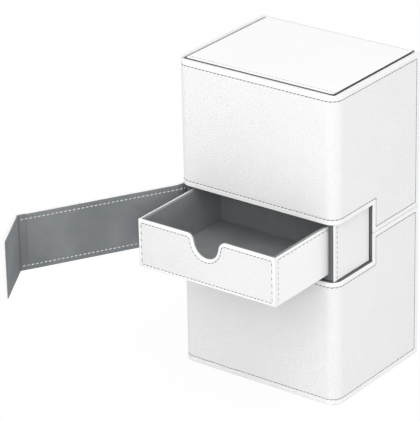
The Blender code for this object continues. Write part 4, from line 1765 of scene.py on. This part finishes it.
    def _build_fold(self, name: str, before: Strip, bend: Bend, node: str, bridge: Bridge) -> None:
        """A soft fold: skin and lining drawn on from one stretch's end, then swept round to the next.

        Args:
            name: the fold's name.
            before: the stretch that it begins at.
            bend: the bend.
            node: the CAD node that it stands for.
            bridge: what it bends between.
        """
        recess, half = self.fold_recess, self.thickness / 2
        crease = bend.spot((bend.straight + bend.end) / 2, self.thickness - recess, 0, 1)[0]
        layers = (
            ("skin", recess, half, self.fold_inset, self._finish_for(name, before), [node]),
            # The fold's lining in darker microfibre: painted shade.
            ("liner", half, self.thickness - recess, self.lining_edge, FOLD_SHADE_LINING, []),
        )
        for layer, near_y, far_y, inset, finish, replaced in layers:
            piece = Workpiece.cuboid(
                f"{name}_{layer}", (before.length - self.fold_lap, near_y, before.low + inset),
                (bend.straight, far_y, before.high - inset),
            )
            with piece.editing():
                piece.pick(Pick.FACES, lambda f: f.normal.x > 0.9)
                bpy.ops.mesh.spin(
                    steps=self.fold_steps, angle=-bend.angle * bend.way, center=bend.centre, axis=(0, 0, 1),
                    use_normal_flip=False,
                )
                bpy.ops.mesh.select_all(action="SELECT")
                bpy.ops.mesh.remove_doubles(threshold=1e-6)
                bpy.ops.mesh.normals_make_consistent(inside=False)
            piece.put(bend.matrix)
            piece.finish(
                finish, bridge, replaced,
                # Painted shade along the crease.
                [(DARK_WRAP_AND_SHADE, lambda f: layer == "liner" and (f.center.xy - crease.xy).length < self.crease)],
            )

    def _build_anchor(self, strip: Strip) -> None:
        """The fixed end, glued into the left notch."""
        matrix = strip.matrix()
        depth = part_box("flap_anchor_board")[1].x + self.plan.half_width
        piece = Workpiece.cuboid("anchor_panel", (0, 0, strip.low), (strip.length, depth, strip.high))
        lines = (strip.low + self.border, strip.high - self.border)
        with piece.editing():
            piece.round_edges(lambda e: both_at(e, 1, 0) and even(e, 2), self.edge, 3)
            piece.round_edges(lambda e: sharp(e) and both_at(e, 0, 0), self.anchor_edge, 2)
            self.groove.cut(piece, 2, *lines)
            piece.pick(
                Pick.VERTS,
                lambda v: any(near(v.co.z, line, self.groove.core * 1.3) for line in lines) and near(v.co.y, 0),
            )
            piece.move((0, self.groove.depth, 0))
        piece.put(matrix)
        ribbed = RibbedLeatherette("ribbed_anchor", (0.0, -1.0, 1.0))
        piece.finish(ribbed, "case", ["flap_anchor_skin", "flap_anchor_board"])
        seam, seats = Seam(), []
        for line in lines:

            def spot(point: Plan) -> tuple[Vector, Vector]:
                """Place and way out on the fixed end."""
                return matrix @ Vector((point[0], self.groove.bed, point[1])), Vector((-1, 0, 0))

            seats += seam.walk([(0.001, line), (strip.length, line)], spot)
        seam.sew("anchor_stitches", seats, GREY_THREAD, "case")


@dataclass
class Sleeve:
    """The drawer's sleeve, the tab's seat on its right side, and the plain inner boxes."""

    plan: CasePlan
    nodes: dict[str, bpy.types.Object]
    seat_row: float = 0.0026
    seat_edge: float = 0.00045
    seam_end: float = 0.0006
    groove: Groove = Groove(0.0004, 0.00015, 0.0002)

    def build(self) -> None:
        """Models the sleeve and its seat, and eases the edges of the plain pieces."""
        self._ease("drawer_sleeve", "sleeve_shell", 0.0003, DARK_WRAP_AND_SHADE)
        self._ease("sleeve_lining", "sleeve_liner", 0.00012, LINING)
        self._ease("upper_card_box", "upper_box", 0.0003, BOARD)
        self._ease("lower_card_box", "lower_box", 0.0003, BOARD)
        self._ease("upper_card_lining", "upper_box_liner", 0.00015, LINING)
        self._ease("lower_card_lining", "lower_box_liner", 0.00015, LINING)
        self._build_seat()

    def _ease(self, node: str, name: str, radius: float, finish: Finish) -> None:
        """A copy of a plain piece with softened edges."""
        piece = Workpiece.copy_of(node, name, self.nodes)
        with piece.editing():
            piece.round_edges(lambda e: sharp(e, 60), radius, 2)
        piece.finish(finish, "case", [node])

    def _build_seat(self) -> None:
        """The smooth panel that the tab lands on."""
        low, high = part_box("tab_seat_skin")
        row = low.y + self.seat_row
        piece = Workpiece.cuboid("tab_seat", low, high)
        with piece.editing():
            piece.round_edges(lambda e: sharp(e) and both_at(e, 0, high.x), self.seat_edge, 3)
            self.groove.cut(piece, 1, row)
            piece.pick(Pick.VERTS, lambda v: near(v.co.y, row, self.groove.core * 1.3) and near(v.co.x, high.x))
            piece.move((-self.groove.depth, 0, 0))
        # Painted shade: the seat in its darker leatherette.
        piece.finish(
            SHADED_SEAT, "case", ["tab_seat_skin"],
            # Painted shade on the groove's floor.
            [(GROOVE_SHADE, lambda f: f.normal.x > 0.9 and near(f.center.y, row, self.groove.core * 1.3))],
        )

        def spot(point: Plan) -> tuple[Vector, Vector]:
            """Place and way out on the seat."""
            return Vector((high.x - self.groove.bed, point[0], point[1])), Vector((1, 0, 0))

        seam = Seam(upright=Row(0.0029, 0.0014))
        path = [(row, low.z + self.seam_end), (row, high.z - self.seam_end)]
        seam.sew("tab_seat_stitches", seam.walk(path, spot), GREY_THREAD, "case")


# The studio


@dataclass(frozen=True)
class Lamp:
    """A square soft lamp that faces the case."""

    name: str
    place: tuple[float, float, float]
    size: float
    power: float


@dataclass
class Studio:
    """The pale floor, the soft light and the camera of the photograph's view."""

    lamps: tuple[Lamp, ...] = (
        Lamp("overhead", (0.42, -0.78, 1.65), 1.0, 9.5),
        Lamp("window", (1.10, -1.40, 0.755), 1.2, 10.0),
        Lamp("left", (-1.18, -1.33, 0.755), 1.2, 5.4),
        Lamp("right", (1.18, 1.33, 0.755), 1.2, 4.0),
    )
    lit_point: tuple[float, float, float] = (0, 0, 0.09)
    world_strength: float = 0.73
    floor_size: float = 14
    floor_drop: float = 0.0002
    floor_lit: float = 0.7
    floor_seen: float = 0.95
    floor_glow: float = 0.9
    lens: float = 247.51
    camera_place: tuple[float, float, float] = (0.84714, -1.19722, 0.75008)
    right: tuple[float, float, float] = (0.8016, 0.5975, -0.0199)
    down: tuple[float, float, float] = (0.2305, -0.3396, -0.9119)
    forward: tuple[float, float, float] = (-0.5517, 0.7264, -0.4100)

    def build(self) -> None:
        """Sets up the camera, the world, the lamps and the floor."""
        self._place_camera()
        self._light()
        self._lay_floor()
        bpy.context.scene.view_settings.view_transform = "Standard"

    def _place_camera(self) -> None:
        """The photograph's camera."""
        data = bpy.data.cameras.new("camera")
        data.lens = self.lens
        data.sensor_width = 36.0
        data.clip_end = 20.0
        camera = bpy.data.objects.new("camera", data)
        bpy.context.scene.collection.objects.link(camera)
        back = -Vector(self.forward).normalized()
        side = Vector(self.right)
        side = (side - back * side.dot(back)).normalized()
        matrix = Matrix((side, back.cross(side), back)).transposed().to_4x4()
        matrix.translation = Vector(self.camera_place)
        camera.matrix_world = matrix
        bpy.context.scene.camera = camera

    def _light(self) -> None:
        """A white world and soft lamps above, in front and to the right."""
        world = bpy.data.worlds.new("studio")
        world.use_nodes = True
        bpy.context.scene.world = world
        tree = world.node_tree
        background = tree.nodes["Background"]
        background.inputs["Color"].default_value = (1.0, 1.0, 1.0, 1.0)
        background.inputs["Strength"].default_value = self.world_strength
        seen = tree.nodes.new("ShaderNodeBackground")
        seen.inputs["Color"].default_value = (1.0, 1.0, 1.0, 1.0)
        seen.inputs["Strength"].default_value = 1.0
        mix = tree.nodes.new("ShaderNodeMixShader")
        path = tree.nodes.new("ShaderNodeLightPath")
        shown = path.outputs["Is Camera Ray"]
        for ray in ("Is Glossy Ray", "Is Transmission Ray"):
            either = tree.nodes.new("ShaderNodeMath")
            either.operation = "MAXIMUM"
            tree.links.new(shown, either.inputs[0])
            tree.links.new(path.outputs[ray], either.inputs[1])
            shown = either.outputs[0]
        tree.links.new(shown, mix.inputs[0])
        tree.links.new(background.outputs[0], mix.inputs[1])
        tree.links.new(seen.outputs[0], mix.inputs[2])
        tree.links.new(mix.outputs[0], tree.nodes["World Output"].inputs["Surface"])
        for lamp in self.lamps:
            self._hang(lamp)

    def _hang(self, lamp: Lamp) -> None:
        """Adds one lamp and turns it to the case."""
        data = bpy.data.lights.new(lamp.name, "AREA")
        data.size = lamp.size
        data.energy = lamp.power
        light = bpy.data.objects.new(lamp.name, data)
        bpy.context.scene.collection.objects.link(light)
        light.location = lamp.place
        ray = Vector(self.lit_point) - Vector(lamp.place)
        light.rotation_euler = ray.to_track_quat("-Z", "Y").to_euler()

    def _lay_floor(self) -> None:
        """A white floor that the camera sees almost pure white, with a trace of the object's shadow."""
        bpy.ops.object.select_all(action="DESELECT")
        bpy.ops.mesh.primitive_plane_add(size=self.floor_size, location=(0, 0, -self.floor_drop))
        floor = bpy.context.active_object
        floor.name = "floor"
        bpy.ops.object.transform_apply(location=True, rotation=True, scale=True)
        nodes = Nodes("white_floor")
        seen = nodes.add("ShaderNodeLightPath", output="Is Camera Ray")
        for ray in ("Is Glossy Ray", "Is Transmission Ray"):
            seen = seen.at_least(nodes.add("ShaderNodeLightPath", output=ray))
        tone = nodes.blend(seen, (self.floor_lit,) * 3, (self.floor_seen,) * 3)
        nodes.surface(Base_Color=tone, Roughness=0.9, Specular_IOR_Level=0.1)
        glow = nodes.add("ShaderNodeEmission", {"Color": (1.0, 1.0, 1.0), "Strength": 1.0})
        floor_shader = Wire(nodes, nodes.shader.outputs[0])
        mix = nodes.add("ShaderNodeMixShader", {0: seen * self.floor_glow, 1: floor_shader, 2: glow})
        nodes.tree.links.new(mix.socket, nodes.tree.nodes["Material Output"].inputs["Surface"])
        floor.data.materials.append(nodes.material)


def dress_kept_nodes(nodes: dict[str, bpy.types.Object]) -> None:
    """Gives the CAD pieces that still show their finished materials."""
    finishes = {
        "upper_lid_keeper": STEEL, "lower_lid_keeper": STEEL, "tab_keeper": STEEL, "tab_magnet": STEEL,
        "top_lid_magnet_left": STEEL, "top_lid_magnet_right": STEEL,
        "bottom_lid_magnet_left": STEEL, "bottom_lid_magnet_right": STEEL,
    }
    for name, finish in finishes.items():
        for slot in nodes[name].material_slots:
            slot.material = finish.material()
        LOG.info("%s keeps its shape", name)


def main() -> None:
    """Builds the looks around the frame."""
    logging.basicConfig(level=logging.INFO, format="%(name)s: %(message)s")
    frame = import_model()
    nodes = frame["nodes"]
    joints = {joint["name"]: Vector(joint["pos_m"]) for joint in frame["joints"] if "pos_m" in joint}
    plan = CasePlan.from_frame()
    Studio().build()
    for block in Block:
        Cover(plan, block, nodes).build()
        Lid(plan, block).build()
    Spine(plan).build()
    Sleeve(plan, nodes).build()
    Drawer(nodes).build()
    Flap(plan, nodes, joints).build()
    dress_kept_nodes(nodes)


if __name__ == "__main__":
    main()
